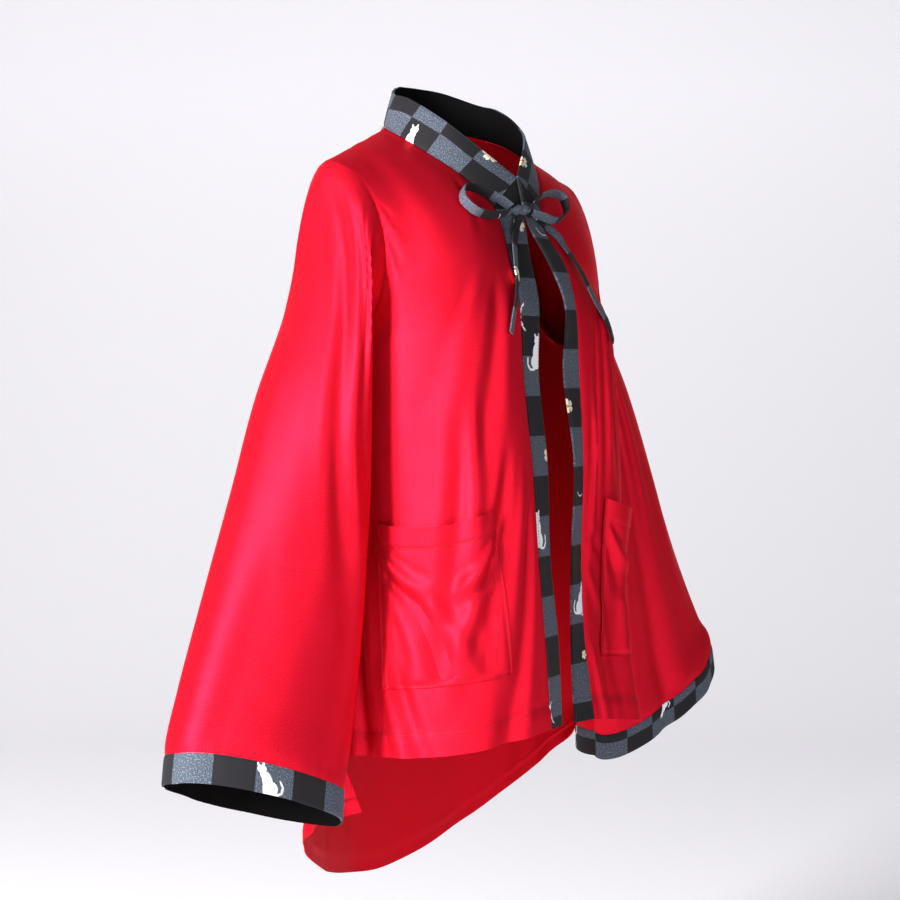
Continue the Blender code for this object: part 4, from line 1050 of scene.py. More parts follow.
# %% Creases of the fronts
# The flat size that the creases were placed on, and how they are deepened
FRONT_FLAT, FRONT_GAIN = (21.0, 60.0), 1.5
FRONT_CREASES = {
    RIGHT: (
        (0.985, 0.16, 0.84, 0.21, 0.2, 0.22, 0.45, -0.06, 0),
        (0.985, 0.19, 0.80, 0.26, 0.2, 0.22, 0.50, 0.06, 0),
        (0.985, 0.22, 0.84, 0.29, 0.2, 0.22, 0.45, -0.06, 0),
        (0.985, 0.25, 0.82, 0.34, 0.2, 0.25, 0.60, 0.06, 0),
        (0.985, 0.29, 0.86, 0.38, 0.2, 0.25, 0.60, -0.05, 0),
        (0.16, 0.44, 0.36, 0.70, -0.6, 0.7, 1.3, -0.22, 0),
        (0.28, 0.40, 0.50, 0.66, -0.4, 0.9, 1.6, 0.14, 0),
        (0.42, 0.60, 0.52, 0.92, -0.4, 0.6, 1.1, -0.20, 0),
        (0.34, 0.58, 0.40, 0.90, -0.3, 0.6, 1.1, 0.18, 0),
        (0.17, 0.66, 0.47, 0.99, -0.3, 0.5, 1.0, -0.28, 0),
        (0.08, 0.68, 0.34, 1.00, -0.3, 0.5, 1.0, 0.16, 1),
        (0.03, 0.70, 0.22, 1.00, -0.3, 0.4, 0.8, -0.20, 1),
        (0.95, 0.58, 0.83, 1.00, 0.3, 0.3, 0.7, -0.32, 1),
        (0.97, 0.60, 0.88, 1.00, 0.3, 0.3, 0.6, 0.22, 1),
        (0.985, 0.58, 0.93, 1.00, 0.3, 0.3, 0.6, -0.26, 1),
        (0.78, 0.88, 0.64, 1.02, 0.3, 0.5, 0.9, 0.18, 1),
        (0.70, 0.90, 0.54, 1.03, 0.2, 0.5, 0.9, -0.18, 1),
        (0.90, 0.84, 0.84, 1.03, 0.1, 0.4, 0.8, -0.14, 1),
        (0.88, 0.56, 0.82, 0.80, 0.2, 0.6, 0.9, -0.14, 0),
        (0.10, 0.24, 0.26, 0.36, 0.3, 0.5, 0.9, -0.07, 0),
    ),
    LEFT: (
        (0.15, 0.48, 0.08, 0.80, 0.2, 0.35, 0.5, -0.16, 0),
        (0.10, 0.60, 0.03, 0.84, 0.2, 0.30, 0.5, 0.15, 0),
        (0.013, 0.765, 0.15, 0.80, 0.2, 0.30, 0.5, -0.12, 0),
        (0.017, 0.81, 0.13, 0.88, 0.2, 0.30, 0.5, 0.12, 0),
        (0.24, 0.46, 0.20, 0.74, 0.2, 0.35, 0.5, 0.20, 0),
        (0.30, 0.44, 0.28, 0.74, 0.2, 0.35, 0.5, -0.18, 0),
        (0.36, 0.40, 0.38, 0.76, 0.3, 0.40, 0.6, 0.14, 0),
        (0.03, 0.90, 0.07, 1.00, 0.1, 0.35, 0.5, 0.16, 1),
        (0.10, 0.88, 0.14, 1.02, 0.1, 0.35, 0.6, -0.16, 1),
        (0.985, 0.43, 0.82, 0.32, 0.3, 0.3, 0.8, -0.06, 0),
        (0.985, 0.36, 0.86, 0.26, 0.3, 0.3, 0.6, 0.06, 0),
        (0.985, 0.28, 0.90, 0.19, 0.2, 0.25, 0.5, -0.05, 0),
        (0.30, 0.90, 0.42, 1.04, 0.2, 0.5, 0.9, -0.14, 1),
        (0.60, 0.88, 0.70, 1.04, 0.2, 0.5, 0.9, 0.16, 1),
    ),
}


def front_cloth(side, station, across):
    """Middle of a front and the height of its creases."""
    grid = front_surface(side, station, across)
    return grid, FRONT_GAIN * creases(FRONT_CREASES[side], across, station / HEM, FRONT_FLAT)

# %% Make a front
PIECES, OUTER = {}, {}
HEM_DEPTH = 2.1
FRONT_SEED = {RIGHT: 3, LEFT: 4}


def make_front(side):
    """A front with its creases, rolled seams and turned-up hem."""
    rows, cols = np.meshgrid(np.linspace(0, HEM, 141), np.linspace(0, 1, 84), indexing="ij")
    grid, height = front_cloth(side, rows, cols)
    grid = eased(grid, 9, step(0, 0.12, cols) * step(0, 0.14, 1 - cols))
    chart = chart_of(grid)
    from_band, from_side, from_top, from_hem = borders(chart)
    height += slow_waves(cols, rows / HEM, FRONT_FLAT, size=9.0, height=0.05, seed=FRONT_SEED[side])
    height *= step(0, 1.2, from_band) * step(0, 1.2, from_side)
    height += seam_roll(from_band) + seam_roll(from_side) + seam_roll(from_top)
    height += puckers(from_side, from_top, pitch=1.15, height=0.035, seed=11)
    height += turned_hem(from_hem, HEM_DEPTH, rise=0.11, dent=0.13)
    height += puckers(from_hem - HEM_DEPTH, from_band, pitch=1.4, height=0.025, seed=12, reach=0.9)
    return lay("front_cloth_" + side, grid, height, chart, RED_CLOTH, RED_WRONG_SIDE_SHADED)


for side in SIDES:
    PIECES["front_" + side], OUTER["front_" + side] = make_front(side)

# %% [markdown]
# ## Back
#
# The back hangs straighter than the fronts, with long soft folds and short drag lines from the armholes.
# It is made the same way, and its narrow hem is turned up along the rounded tail.

# %% Creases of the back
BACK_FLAT = (44.0, 78.0)
BACK_CREASES = (
    (0.075, 0.74, 0.045, 1.02, 0.3, 0.5, 0.9, 0.34, 1),
    (0.135, 0.72, 0.125, 1.02, 0.3, 0.5, 1.0, -0.34, 1),
    (0.03, 0.30, 0.16, 0.22, 0.3, 0.35, 0.9, 0.09, 0),
    (0.03, 0.25, 0.13, 0.16, 0.2, 0.30, 0.7, -0.07, 0),
    (0.97, 0.31, 0.85, 0.22, 0.3, 0.35, 0.9, 0.09, 0),
    (0.97, 0.26, 0.88, 0.17, 0.2, 0.30, 0.7, -0.07, 0),
    (0.24, 0.40, 0.27, 0.96, 0.5, 0.6, 1.2, -0.16, 1),
    (0.40, 0.52, 0.38, 1.02, -0.4, 0.6, 1.2, 0.15, 1),
    (0.53, 0.46, 0.55, 0.92, 0.5, 0.6, 1.1, -0.16, 0),
    (0.68, 0.55, 0.70, 1.02, 0.4, 0.6, 1.2, 0.16, 1),
    (0.82, 0.50, 0.84, 1.00, -0.4, 0.6, 1.0, -0.14, 1),
    (0.10, 0.62, 0.08, 1.02, 0.3, 0.5, 0.9, 0.15, 1),
    (0.30, 0.14, 0.44, 0.20, 0.4, 0.6, 1.0, -0.06, 0),
    (0.70, 0.13, 0.57, 0.19, 0.4, 0.6, 1.0, -0.06, 0),
)

# %% Make the back
# How much of the back's length lies above the ends of the side seams, how its creases are deepened, its hem
ABOVE_TAIL, BACK_GAIN, BACK_HEM = 0.78, 1.3, 1.5


def make_back():
    """The back with its creases, seams and narrow hem."""
    spans_down = ((0, UNDERARM, 50), (UNDERARM, HEM, 62), (HEM, 2 * HEM, 36))
    station = np.unique(np.concatenate([np.linspace(*span) for span in spans_down]))
    rows, cols = np.meshgrid(station, np.linspace(0, 1, 149), indexing="ij")
    down = np.interp(rows, (0, HEM, 2 * HEM), (0, ABOVE_TAIL, 1))
    grid = eased(back_surface(rows, cols, down), 6, step(0, 0.08, cols) * step(0, 0.08, 1 - cols))
    chart = chart_of(grid)
    from_right, from_left, from_top, from_hem = borders(chart)
    height = BACK_GAIN * creases(BACK_CREASES, cols, down, BACK_FLAT)
    height += slow_waves(cols, down, BACK_FLAT, size=11.0, height=0.05, seed=5)
    height *= step(0, 1.2, from_right) * step(0, 1.2, from_left) * step(0, 1.0, from_top)
    height += seam_roll(from_right) + seam_roll(from_left) + seam_roll(from_top)
    height += puckers(from_right, from_top, pitch=1.2, height=0.03, seed=13)
    height += puckers(from_left, from_top, pitch=1.2, height=0.03, seed=14)
    height += turned_hem(from_hem, BACK_HEM, rise=0.09, dent=0.09)
    height += puckers(from_hem - BACK_HEM, from_right, pitch=1.5, height=0.035, seed=15, reach=0.9)
    return lay("back_cloth", grid, height, chart, RED_CLOTH, RED_WRONG_SIDE_SHADED)


PIECES["back"], OUTER["back"] = make_back()

# %% [markdown]
# ## Sleeves
#
# The sleeve's seams at the armhole and the cuff pull in a little. Its creases run round the tube, so a
# crease near the fold line is laid twice, one turn apart, and the ring closes without a step.

# %% Creases of the sleeves
SLEEVE_FLAT = (46.0, 60.0)
SLEEVE_CREASES = {
    RIGHT: (
        (0.040, 0.08, 0.300, 0.64, 1.2, 0.6, 1.5, -0.34, 0),
        (0.085, 0.05, 0.365, 0.66, 1.6, 0.7, 1.3, 0.26, 0),
        (0.150, 0.02, 0.270, 0.30, 0.4, 0.3, 0.6, -0.16, 0),
        (0.190, 0.02, 0.300, 0.26, 0.3, 0.3, 0.6, 0.16, 0),
        (0.240, 0.50, 0.200, 1.00, 0.4, 1.2, 2.4, 0.14, 1),
        (0.130, 0.60, 0.110, 1.00, 0.3, 1.4, 2.4, -0.14, 1),
        (0.320, 0.60, 0.330, 1.00, 0.2, 0.8, 1.4, -0.12, 1),
        (0.000, 0.30, 0.030, 0.95, 0.3, 1.2, 2.2, 0.10, 0),
        (0.445, 0.10, 0.440, 0.72, 0.2, 0.5, 0.9, 0.12, 0),
        (0.560, 0.06, 0.570, 0.70, 0.3, 0.5, 1.1, -0.14, 0),
        (0.720, 0.10, 0.735, 1.00, 0.4, 0.5, 1.2, 0.18, 1),
        (0.800, 0.03, 0.790, 0.30, 0.2, 0.3, 0.7, -0.10, 0),
        (0.860, 0.08, 0.870, 0.84, -0.4, 0.5, 1.2, -0.16, 0),
        (0.930, 0.20, 0.940, 1.00, 0.3, 0.8, 1.6, 0.10, 1),
    ),
    LEFT: (
        (0.075, 0.06, 0.070, 0.80, 0.4, 0.6, 1.4, -0.12, 0),
        (0.240, 0.10, 0.180, 1.00, 0.3, 0.5, 1.1, 0.16, 1),
        (0.300, 0.12, 0.240, 1.00, 0.3, 0.4, 1.0, -0.18, 1),
        (0.340, 0.10, 0.320, 1.00, 0.2, 0.4, 0.9, 0.16, 1),
        (0.420, 0.06, 0.410, 0.60, 0.2, 0.4, 0.9, -0.12, 0),
        (0.540, 0.06, 0.550, 0.80, 0.3, 0.5, 1.1, 0.14, 0),
        (0.680, 0.10, 0.690, 1.00, 0.4, 0.5, 1.2, -0.16, 1),
        (0.780, 0.03, 0.770, 0.30, 0.2, 0.3, 0.7, 0.10, 0),
        (0.830, 0.08, 0.845, 0.90, -0.4, 0.5, 1.2, 0.16, 0),
        (0.920, 0.30, 0.925, 1.00, 0.3, 0.8, 1.4, -0.12, 1),
    ),
}

# %% Make a sleeve
def make_sleeve(side):
    """A sleeve as a closed ring of cloth."""
    along = np.concatenate([np.linspace(0, 14, 22), np.linspace(14, CUFF_FROM, 92)[1:]])
    rows, cols = np.meshgrid(along, np.linspace(0, 1, 137), indexing="ij")
    grid = sleeve_surface(side, rows, cols)
    chart = chart_of(grid)
    _, _, from_top, from_cuff = borders(chart)
    height = sum(creases(SLEEVE_CREASES[side], cols - turn, rows / 100, SLEEVE_FLAT) for turn in (0, 1))
    height *= step(0, 1.4, from_top) * step(0, 1.2, from_cuff)
    height += seam_roll(from_top) + seam_roll(from_cuff)
    height += puckers(from_top, chart[:1, :, 0], pitch=1.3, height=0.03, seed=21, reach=1.3)
    height += puckers(from_cuff, chart[-1:, :, 0], pitch=1.7, height=0.03, seed=22)
    height[:, -1] = height[:, 0]
    return lay("sleeve_cloth_" + side, grid, height, chart, RED_CLOTH, RED_WRONG_SIDE_SHADED, ring=True)


for side in SIDES:
    PIECES["sleeve_" + side], OUTER["sleeve_" + side] = make_sleeve(side)

# %% [markdown]
# ## Cuffs
#
# A cuff is a doubled strip of the checked cotton round the opening, in one row of squares and the start
# of the next. It takes its rings from the sleeve's own surface, so its seam meets the sleeve exactly.

# %% Prints and squares of the cuffs
CUFF_MOTIFS = {
    RIGHT: (
        (8.4, 1.4, 1, 1.7, -12, 0), (25.0, 0.6, 2, 0.95, 20, 0), (33.5, 1.3, 1, 1.5, 8, 1),
        (41.0, 2.2, 2, 0.95, 0, 0),
    ),
    LEFT: ((11.3, 0.5, 1, 0.95, 160, 0), (26.0, 1.4, 0, 1.5, 5, 1), (38.0, 0.8, 2, 0.95, 0, 0)),
}
CUFF_PHASE = {RIGHT: (0.336, 3.9), LEFT: (1.57, 6.67)}
CUFF_THICK = 0.16

# %% Make a cuff
def make_cuff(side, cloth):
    """A cuff round the sleeve's opening."""
    rows, cols = np.meshgrid(np.linspace(CUFF_FROM, CUFF_TO, 13), np.linspace(0, 1, 201), indexing="ij")
    grid = sleeve_surface(side, rows, cols)
    chart = chart_of(grid)
    chart[..., 0] = chart[-1:, :, 0]
    around, _, from_seam, from_rim = borders(chart)
    height = seam_roll(from_seam, 0.05, 0.18) + seam_roll(from_rim, 0.05, 0.10)
    height += puckers(from_seam, around, pitch=1.6, height=0.02, seed=23, reach=1.0)
    height[:, -1] = height[:, 0]
    return lay("cuff_cloth_" + side, grid, height, chart, cloth, BLACK_INSIDE_SHADED, CUFF_THICK, True, CUFF_MOTIFS[side])


for side in SIDES:
    cuff_print = checked_print("checked_cuff_" + side, CUFF_PHASE[side])
    PIECES["cuff_" + side], OUTER["cuff_" + side] = make_cuff(side, cuff_print)

# %% [markdown]
# ## Collar
#
# The collar stands up round the neck, firm from its doubled cloth, with a black inner face whose black is
# deepened as painted shade. Its right end runs on behind the left one, where the two cross under the bow,
# so no slit shows between them.

# %% Prints of the collar
COLLAR_MOTIFS = (
    (10.9, 3.5, 1, 1.7, 30, 0), (3.7, -0.15, 2, 0.95, 10, 0), (21.0, 0.4, 0, 1.5, 10, 1), (30.5, 3.6, 2, 0.95, 0, 0),
    (38.5, 2.6, 0, 1.5, -15, 0), (44.3, 0.1, 2, 0.9, 0, 0),
)
# At the crossing the right side runs on behind the left one
CROSSING = np.array([0.55, 0.30, 0.0])
STRIP_THICK, CROSSING_REACH = 0.18, 6

# %% Make the collar
def make_collar(cloth):
    """The standing collar; its chart runs down from the top edge."""
    turn = np.linspace(-CROSSING_TURN, CROSSING_TURN, 221)
    rows, cols = np.meshgrid(np.linspace(0, 1, 19), turn, indexing="ij")
    behind = step(CROSSING_REACH - CROSSING_TURN, -CROSSING_TURN, cols) * rows**2
    grid = collar_surface(cols, rows) + CROSSING * behind[..., None]
    # a straight strip: its squares stand square to the seam, so the chart slips along where the grid slants
    chart = chart_of(grid)
    rise = grid - grid[:1]
    ahead = unit(np.gradient(grid[:1], axis=1))
    slip = np.sum(rise * ahead, axis=-1)
    tall = np.linalg.norm(rise - ahead * slip[..., None], axis=-1)
    chart[..., 0] = chart[:1, :, 0] + slip
    chart[..., 1] = tall[-1:] - tall
    height = seam_roll(chart[..., 1], 0.06, 0.10) + seam_roll(tall, 0.05, 0.25)
    height += 0.05 * np.sin(math.pi * rows)
    height += puckers(tall, chart[..., 0], pitch=1.9, height=0.02, seed=31, reach=1.2)
    return lay("collar_cloth", grid, height, chart, cloth, BLACK_INSIDE_SHADED, STRIP_THICK, motifs=COLLAR_MOTIFS)


collar_print = checked_print("checked_collar", phase=(2.97, 2.336))
PIECES["collar"], OUTER["collar"] = make_collar(collar_print)

# %% [markdown]
# ## Bands
#
# Each front edge is finished with a band from the collar to the hem. The squares lie level on it although
# its upper end slants, so its chart counts down by height, and across by the level distance from the seam.

# %% Prints of the bands
BAND_MOTIFS = {
    RIGHT: (
        (-0.1, 13.3, 3, 1.5, 0, 1), (2.1, 16.6, 1, 1.9, -14, 1), (2.9, 26.4, 2, 0.85, 0, 0),
        (0.2, 33.3, 1, 2.0, 16, 0), (0.0, 50.6, 3, 1.2, -10, 1), (2.2, 3.4, 2, 0.9, 0, 0),
    ),
    LEFT: (
        (2.5, 21.6, 2, 0.85, 0, 0), (1.2, 30.3, 3, 0.8, 80, 0), (0.7, 40.3, 1, 1.8, -6, 0),
        (0.5, 45.7, 2, 0.55, 30, 0), (1.3, 4.2, 3, 0.9, 60, 0),
    ),
}

# %% Make a band
BAND_PHASE = {RIGHT: (0.2, 1.974), LEFT: (0.2, 2.83)}
BAND_SEED = {RIGHT: 32, LEFT: 33}
# The station where a band starts, and those between which the right one goes behind the left one
BAND_START, BEHIND = 33.33, (44, 37)


def make_band(side, cloth):
    """A band down the front edge, with level squares."""
    rows, cols = np.meshgrid(np.linspace(BAND_START, HEM, 200), np.linspace(0, 1, 15), indexing="ij")
    grid = neckband_surface(side, rows, cols)
    if side == RIGHT:
        grid = grid + CROSSING * (step(*BEHIND, rows) * cols**2)[..., None]
    chart = chart_of(grid)
    from_seam, from_edge, down, _ = borders(chart)
    # the squares lie level: down by height, and across by the level distance from the seam
    seam, middle = grid[:, 0], slice(7, 8)
    chart[..., 1] = down[:, middle] + grid[:, middle, 2] - grid[..., 2]
    beside = [np.interp(-grid[..., 2], -seam[:, 2], seam[:, k]) for k in range(2)]
    chart[..., 0] = np.hypot(grid[..., 0] - beside[0], grid[..., 1] - beside[1])
    height = seam_roll(from_seam, 0.05, 0.2) + seam_roll(from_edge, 0.06, 0.10)
    height += puckers(from_seam, chart[..., 1], pitch=2.3, height=0.025, seed=BAND_SEED[side], reach=1.6)
    return lay("band_cloth_" + side, grid, height, chart, cloth, thin=STRIP_THICK, motifs=BAND_MOTIFS[side])


for side in SIDES:
    band_print = checked_print("checked_band_" + side, BAND_PHASE[side])
    PIECES["band_" + side], OUTER["band_" + side] = make_band(side, band_print)

# %% [markdown]
# ## Pockets
#
# A patch pocket is sewn on three sides and open at the top, where the hemmed mouth sags and stands off.
# Its cloth lies on the front's own creased face, so it is made from the front's surface, lifted by the
# thickness of the cloth, and arched away from it at the mouth. The slack below the mouth hangs in a V.

# %% Sizes and creases of the pockets
# Panel share across of a pocket's mouth and foot, and down of both; how far the mouth sags and stands off
POCKET_ACROSS = {RIGHT: ((0.26, 0.80), (0.20, 0.76)), LEFT: ((0.17, 0.71), (0.11, 0.67))}
POCKET_DOWN = (0.722, 0.922)
SAG, GAPE = 0.9, 0.95
# The lift of its cloth off the front's, how far down it gapes, the depth of its hem, and its flat size
POCKET_LIFT, GAPE_DEPTH, MOUTH_DEPTH = 0.22, 0.62, 2.0
POCKET_FLAT, POCKET_GAIN = (13.0, 15.5), 1.15
# On a pocket, down runs from the mouth to the foot. The slack below the mouth hangs in a V.
POCKET_CREASES = {
    RIGHT: (
        (0.985, 0.14, 0.56, 0.44, 0.7, 0.35, 0.9, 0.28, 0),
        (0.985, 0.26, 0.60, 0.54, 0.6, 0.35, 0.8, -0.20, 0),
        (0.02, 0.14, 0.42, 0.46, -0.7, 0.35, 0.9, 0.30, 0),
        (0.04, 0.22, 0.44, 0.58, -0.6, 0.35, 0.8, -0.24, 0),
        (0.05, 0.36, 0.40, 0.72, -0.5, 0.40, 0.9, 0.16, 0),
        (0.62, 0.44, 0.30, 0.98, -0.5, 0.60, 1.1, 0.22, 1),
        (0.74, 0.48, 0.50, 0.98, -0.4, 0.60, 1.0, -0.26, 1),
        (0.88, 0.50, 0.70, 0.98, -0.3, 0.50, 0.9, 0.18, 1),
        (0.12, 0.60, 0.22, 0.98, -0.2, 0.40, 0.8, -0.16, 1),
    ),
    LEFT: (
        (0.04, 0.16, 0.42, 0.44, -0.7, 0.35, 0.9, 0.26, 0),
        (0.96, 0.16, 0.56, 0.46, 0.7, 0.35, 0.9, 0.24, 0),
        (0.08, 0.30, 0.30, 0.66, -0.4, 0.40, 0.8, -0.20, 0),
        (0.20, 0.48, 0.26, 0.98, 0.3, 0.50, 0.8, 0.18, 1),
        (0.62, 0.50, 0.70, 0.96, 0.3, 0.60, 0.9, -0.16, 1),
    ),
}

# %% Make a pocket
def make_pocket(side):
    """A patch pocket on the creased face of its front."""
    rows, cols = np.meshgrid(np.linspace(0, 1, 72), np.linspace(0, 1, 64), indexing="ij")
    top, bottom = POCKET_DOWN
    inner, outer = (mouth + (foot - mouth) * rows for mouth, foot in zip(*POCKET_ACROSS[side]))
    grid, lift = front_cloth(side, (top + (bottom - top) * rows) * HEM, inner + (outer - inner) * cols)
    arch = np.sin(math.pi * cols)
    gaping = GAPE * np.clip(1 - rows / GAPE_DEPTH, 0, 1) ** 1.5 * arch**0.8
    normal = outward_normals(grid)
    grid = grid + normal * (lift + POCKET_LIFT + gaping)[..., None]
    grid[..., 2] -= SAG * arch * (1 - rows) ** 2
    chart = chart_of(grid)
    from_inner, from_outer, from_mouth, from_foot = borders(chart)
    height = POCKET_GAIN * creases(POCKET_CREASES[side], cols, rows, POCKET_FLAT)
    height *= step(0, 1.0, from_inner) * step(0, 1.0, from_outer)
    height *= step(0, 0.9, from_foot) * step(0.4, 2.4, from_mouth)
    sewn = ((from_inner, from_mouth, 41), (from_outer, from_mouth, 42), (from_foot, from_inner, 43))
    for distance, position, seed in sewn:
        height += puckers(distance, position, pitch=1.3, height=0.02, seed=seed, reach=0.7)
        height += seam_roll(distance, 0.02, 0.05) + seam_roll(distance - 0.24, 0.12, 0.09)
    height += turned_hem(from_mouth, MOUTH_DEPTH, rise=0.05, dent=0.08, fade=0.12, beside=0.0)
    return lay("pocket_cloth_" + side, grid, height, chart, RED_CLOTH, normal=normal)


for side in SIDES:
    PIECES["pocket_" + side], OUTER["pocket_" + side] = make_pocket(side)

# %% [markdown]
# ## Straps of the bow
#
# The bow is tied from two narrow folded straps. A curve with a flat bevel would be quick, but it twists
# where the path turns. Here each strap has a middle line and a width direction, chosen so that its face
# shows as it does on a tied strap, and a slightly thicker folded edge.

# %% Frame and shell of a strap
STRAP_WIDTH = 0.95
BOW_PRINT = checked_print("checked_bow")


def strap_frame(line, width):
    """A strap's width direction, square to its line, and the way its face looks."""
    along = unit(np.gradient(line, axis=0))
    across = unit(width - along * np.sum(along * width, axis=-1, keepdims=True))
    return across, np.cross(along, across)


def strap_shell(name, line, across, normal, start, motifs):
    """A folded strap: a little thicker at its folded edges, with a stitched dip beside one of them."""
    share = np.linspace(-1, 1, 13)
    aside = share * STRAP_WIDTH / 2
    body = 0.055 + 0.03 * np.sqrt(np.clip(1 - np.abs(share) ** 5, 0, 1)) - 0.02 * bell(share - 0.66, 0.10)
    grid = line[:, None] + across[:, None] * aside[None, :, None]
    rise = normal[:, None] * body[None, :, None]
    chart = np.stack(np.meshgrid(aside + STRAP_WIDTH / 2, lengths(line) + start), axis=-1)
    return shell(name, grid + rise, grid - rise, chart, BOW_PRINT, motifs=motifs)


def spline(points, steps):
    """Even points along a smooth curve through a few route points."""
    run = lengths(np.array(points, float))
    at = np.linspace(0, run[-1], steps)
    return np.stack([smooth(run, values, at) for values in zip(*points)], axis=-1)

# %% [markdown]
# ## Loops
#
# Each loop leaves the knot, turns round in the air and comes back below itself. Ten route points with a
# smooth line through them are enough for its curve.

# %% Both loops
LOOPS = {
    RIGHT: ((-2.44, -8.85, -8.76), (-3.6, -8.6, -8.1), (-5.1, -8.1, -7.5), (-6.8, -7.75, -7.1), (-8.1, -8.1, -7.4),
            (-8.6, -8.6, -8.3), (-7.9, -9.4, -9.4), (-6.1, -9.6, -9.8), (-4.0, -9.5, -9.6), (-2.44, -9.0, -9.24)),
    LEFT: ((0.44, -8.8, -8.76), (1.3, -8.6, -8.0), (2.9, -8.3, -7.3), (4.6, -8.2, -7.0), (5.7, -8.3, -7.5),
           (5.8, -8.6, -8.6), (4.6, -9.0, -9.55), (3.3, -9.2, -9.8), (1.8, -9.2, -9.5), (0.44, -8.95, -9.24)),
}
LOOP_WIDTH = np.array([0.0, -0.75, 0.66])
# Where each strap's print starts
LOOP_START = {RIGHT: 5.27, LEFT: 1.6}
LOOP_MOTIFS = {RIGHT: ((0.3, 17.6, 3, 0.5, 80, 0),), LEFT: ((0.5, 2.6, 3, 0.5, 60, 0),)}
for side in SIDES:
    line = spline(LOOPS[side], 90)
    looks = (LOOP_START[side], LOOP_MOTIFS[side])
    PIECES["bow_loop_" + side] = strap_shell("loop_cloth_" + side, line, *strap_frame(line, LOOP_WIDTH), *looks)

# %% [markdown]
# ## Hanging ends
#
# The two ends come out of the knot and hang down, lying on the cloth below. They could fall by
# simulation, but the route is known, so each is laid on the front's surface by station and share, lifted
# by a few millimetres, and then led back up into the knot.

# %% Lay a strap on a front
# A small step over the panel, as a share of it, to feel how it slopes
NUDGE = 0.02


def lifted_front(side, station, across):
    """Points and outward normals on a front; a share below zero is on the band beside it."""
    over = (across < 0)[:, None]
    share = np.abs(across)

    def place(st, sh):
        return np.where(over, neckband_surface(side, st, sh), front_surface(side, st, sh))

    point = place(station, share)
    down = place(station + NUDGE * HEM / 2, share) - point
    sideways = place(station, share + NUDGE) - place(station, np.clip(share - NUDGE, 0, 1))
    normal = unit(np.cross(down, sideways))
    looks_in = np.sum(normal * point * np.array([1, 1, 0]), axis=1, keepdims=True) < 0
    return point, np.where(looks_in, -normal, normal)


def lying_line(side, rows, steps):
    """Middle line and width direction of a strap that lies on a front."""
    at = np.linspace(0, len(rows) - 1, steps)
    station, across, lift = (smooth(range(len(rows)), values, at) for values in zip(*rows))
    panel, panel_normal = lifted_front(side, station, across)
    line = panel + panel_normal * lift[:, None]
    return line, unit(np.cross(unit(np.gradient(line, axis=0)), panel_normal))

# %% Lead it up into the knot
# Middle of the knot, in front of the collar's crossing, and where each end leaves it
KNOT_CENTRE = np.array([-1.0, -8.8, -9.0])
END_LEAVES = {RIGHT: (0.05, -0.10, -0.45), LEFT: (0.75, -0.10, -0.30)}
LEAD_STEPS = 14


def leaving_knot(side, line, across):
    """Lead an end's line back up into the knot; returns its line, width direction and facing."""
    head = KNOT_CENTRE + np.array(END_LEAVES[side])
    t = np.linspace(0, 1, LEAD_STEPS)[:-1, None]
    turn_in = line[0] + unit(line[0] - line[2]) * 0.5 * np.linalg.norm(line[0] - head)
    lead = (1 - t) ** 2 * head + 2 * t * (1 - t) * turn_in + t**2 * line[0]
    line = np.concatenate([lead, line])
    across, normal = strap_frame(line, np.concatenate([np.repeat(across[:1], len(lead), axis=0), across]))
    return line, across, -normal

# %% Both ends
# The ends lie on the fronts. Each row: station, share across (below zero: over the band), lift off the cloth
ENDS = {
    RIGHT: (
        (39.3, -0.55, 0.30), (41.5, -0.30, 0.33), (44.5, -0.12, 0.36), (47.0, 0.01, 0.4),
        (49.4, 0.06, 0.4), (51.2, 0.095, 0.4), (53.0, 0.12, 0.4),
    ),
    LEFT: (
        (37.2, -0.38, 0.35), (37.6, 0.03, 0.30), (38.9, 0.10, 0.30), (41.0, 0.125, 0.35),
        (44.0, 0.13, 0.4), (46.6, 0.16, 0.4), (49.0, 0.22, 0.4), (52.2, 0.34, 0.4),
    ),
}
END_START = {RIGHT: 0.0, LEFT: 0.2}
END_TILT = {RIGHT: math.radians(28), LEFT: 0.0}
END_MOTIFS = {RIGHT: ((0.4, 7.2, 2, 0.95, 10, 0),), LEFT: ((0.6, 2.4, 3, 0.8, 60, 0),)}
for side in SIDES:
    line, flat, face = leaving_knot(side, *lying_line(side, ENDS[side], 60))
    c, s = math.cos(END_TILT[side]), math.sin(END_TILT[side])
    across, normal = flat * c + face * s, face * c - flat * s
    looks = (END_START[side], END_MOTIFS[side])
    PIECES["bow_end_" + side] = strap_shell("end_cloth_" + side, line, across, normal, *looks)

# %% [markdown]
# ## Knot
#
# The knot is one turn of strap drawn tight over the crossing. It is a short closed barrel whose section
# carries a few slanting pleats and a waist, which is all that shows of it.

# %% Make the knot
# Half its length, depth and height, before the pleats draw it in
KNOT_HALF = (1.12, 0.55, 0.62)
KNOT_DRAWN = 0.86


def make_knot():
    """The knot: strap wrapped round the crossing, with a few drawn-in pleats."""
    turn, along = np.meshgrid(np.linspace(0, 2 * math.pi, 73), np.linspace(-1, 1, 41))
    size = np.sqrt(np.maximum(1 - np.abs(along) ** 3, 0.36))
    pleat = 0.07 * np.sin(2 * turn + 3.4 * along) + 0.045 * np.sin(5 * turn - 4.0 * along + 1.0)
    waist = 1 - 0.14 * bell(along + 0.15, 0.30)
    reach = (size + pleat) * waist * KNOT_DRAWN
    half_x, half_y, half_z = KNOT_HALF
    x = half_x * along + 0.10 * np.sin(turn) + 0.05
    grid = np.stack([x, half_y * np.cos(turn) * reach, half_z * np.sin(turn) * reach], axis=-1) + KNOT_CENTRE
    chart = np.stack([half_x * (along + 1), 3.86 + turn * 0.58], axis=-1)
    middle = grid.mean(axis=1, keepdims=True)
    return shell("knot_cloth", grid, middle + (grid - middle) * 0.25, chart, BOW_PRINT, ring=True)


PIECES["bow_knot"] = make_knot()
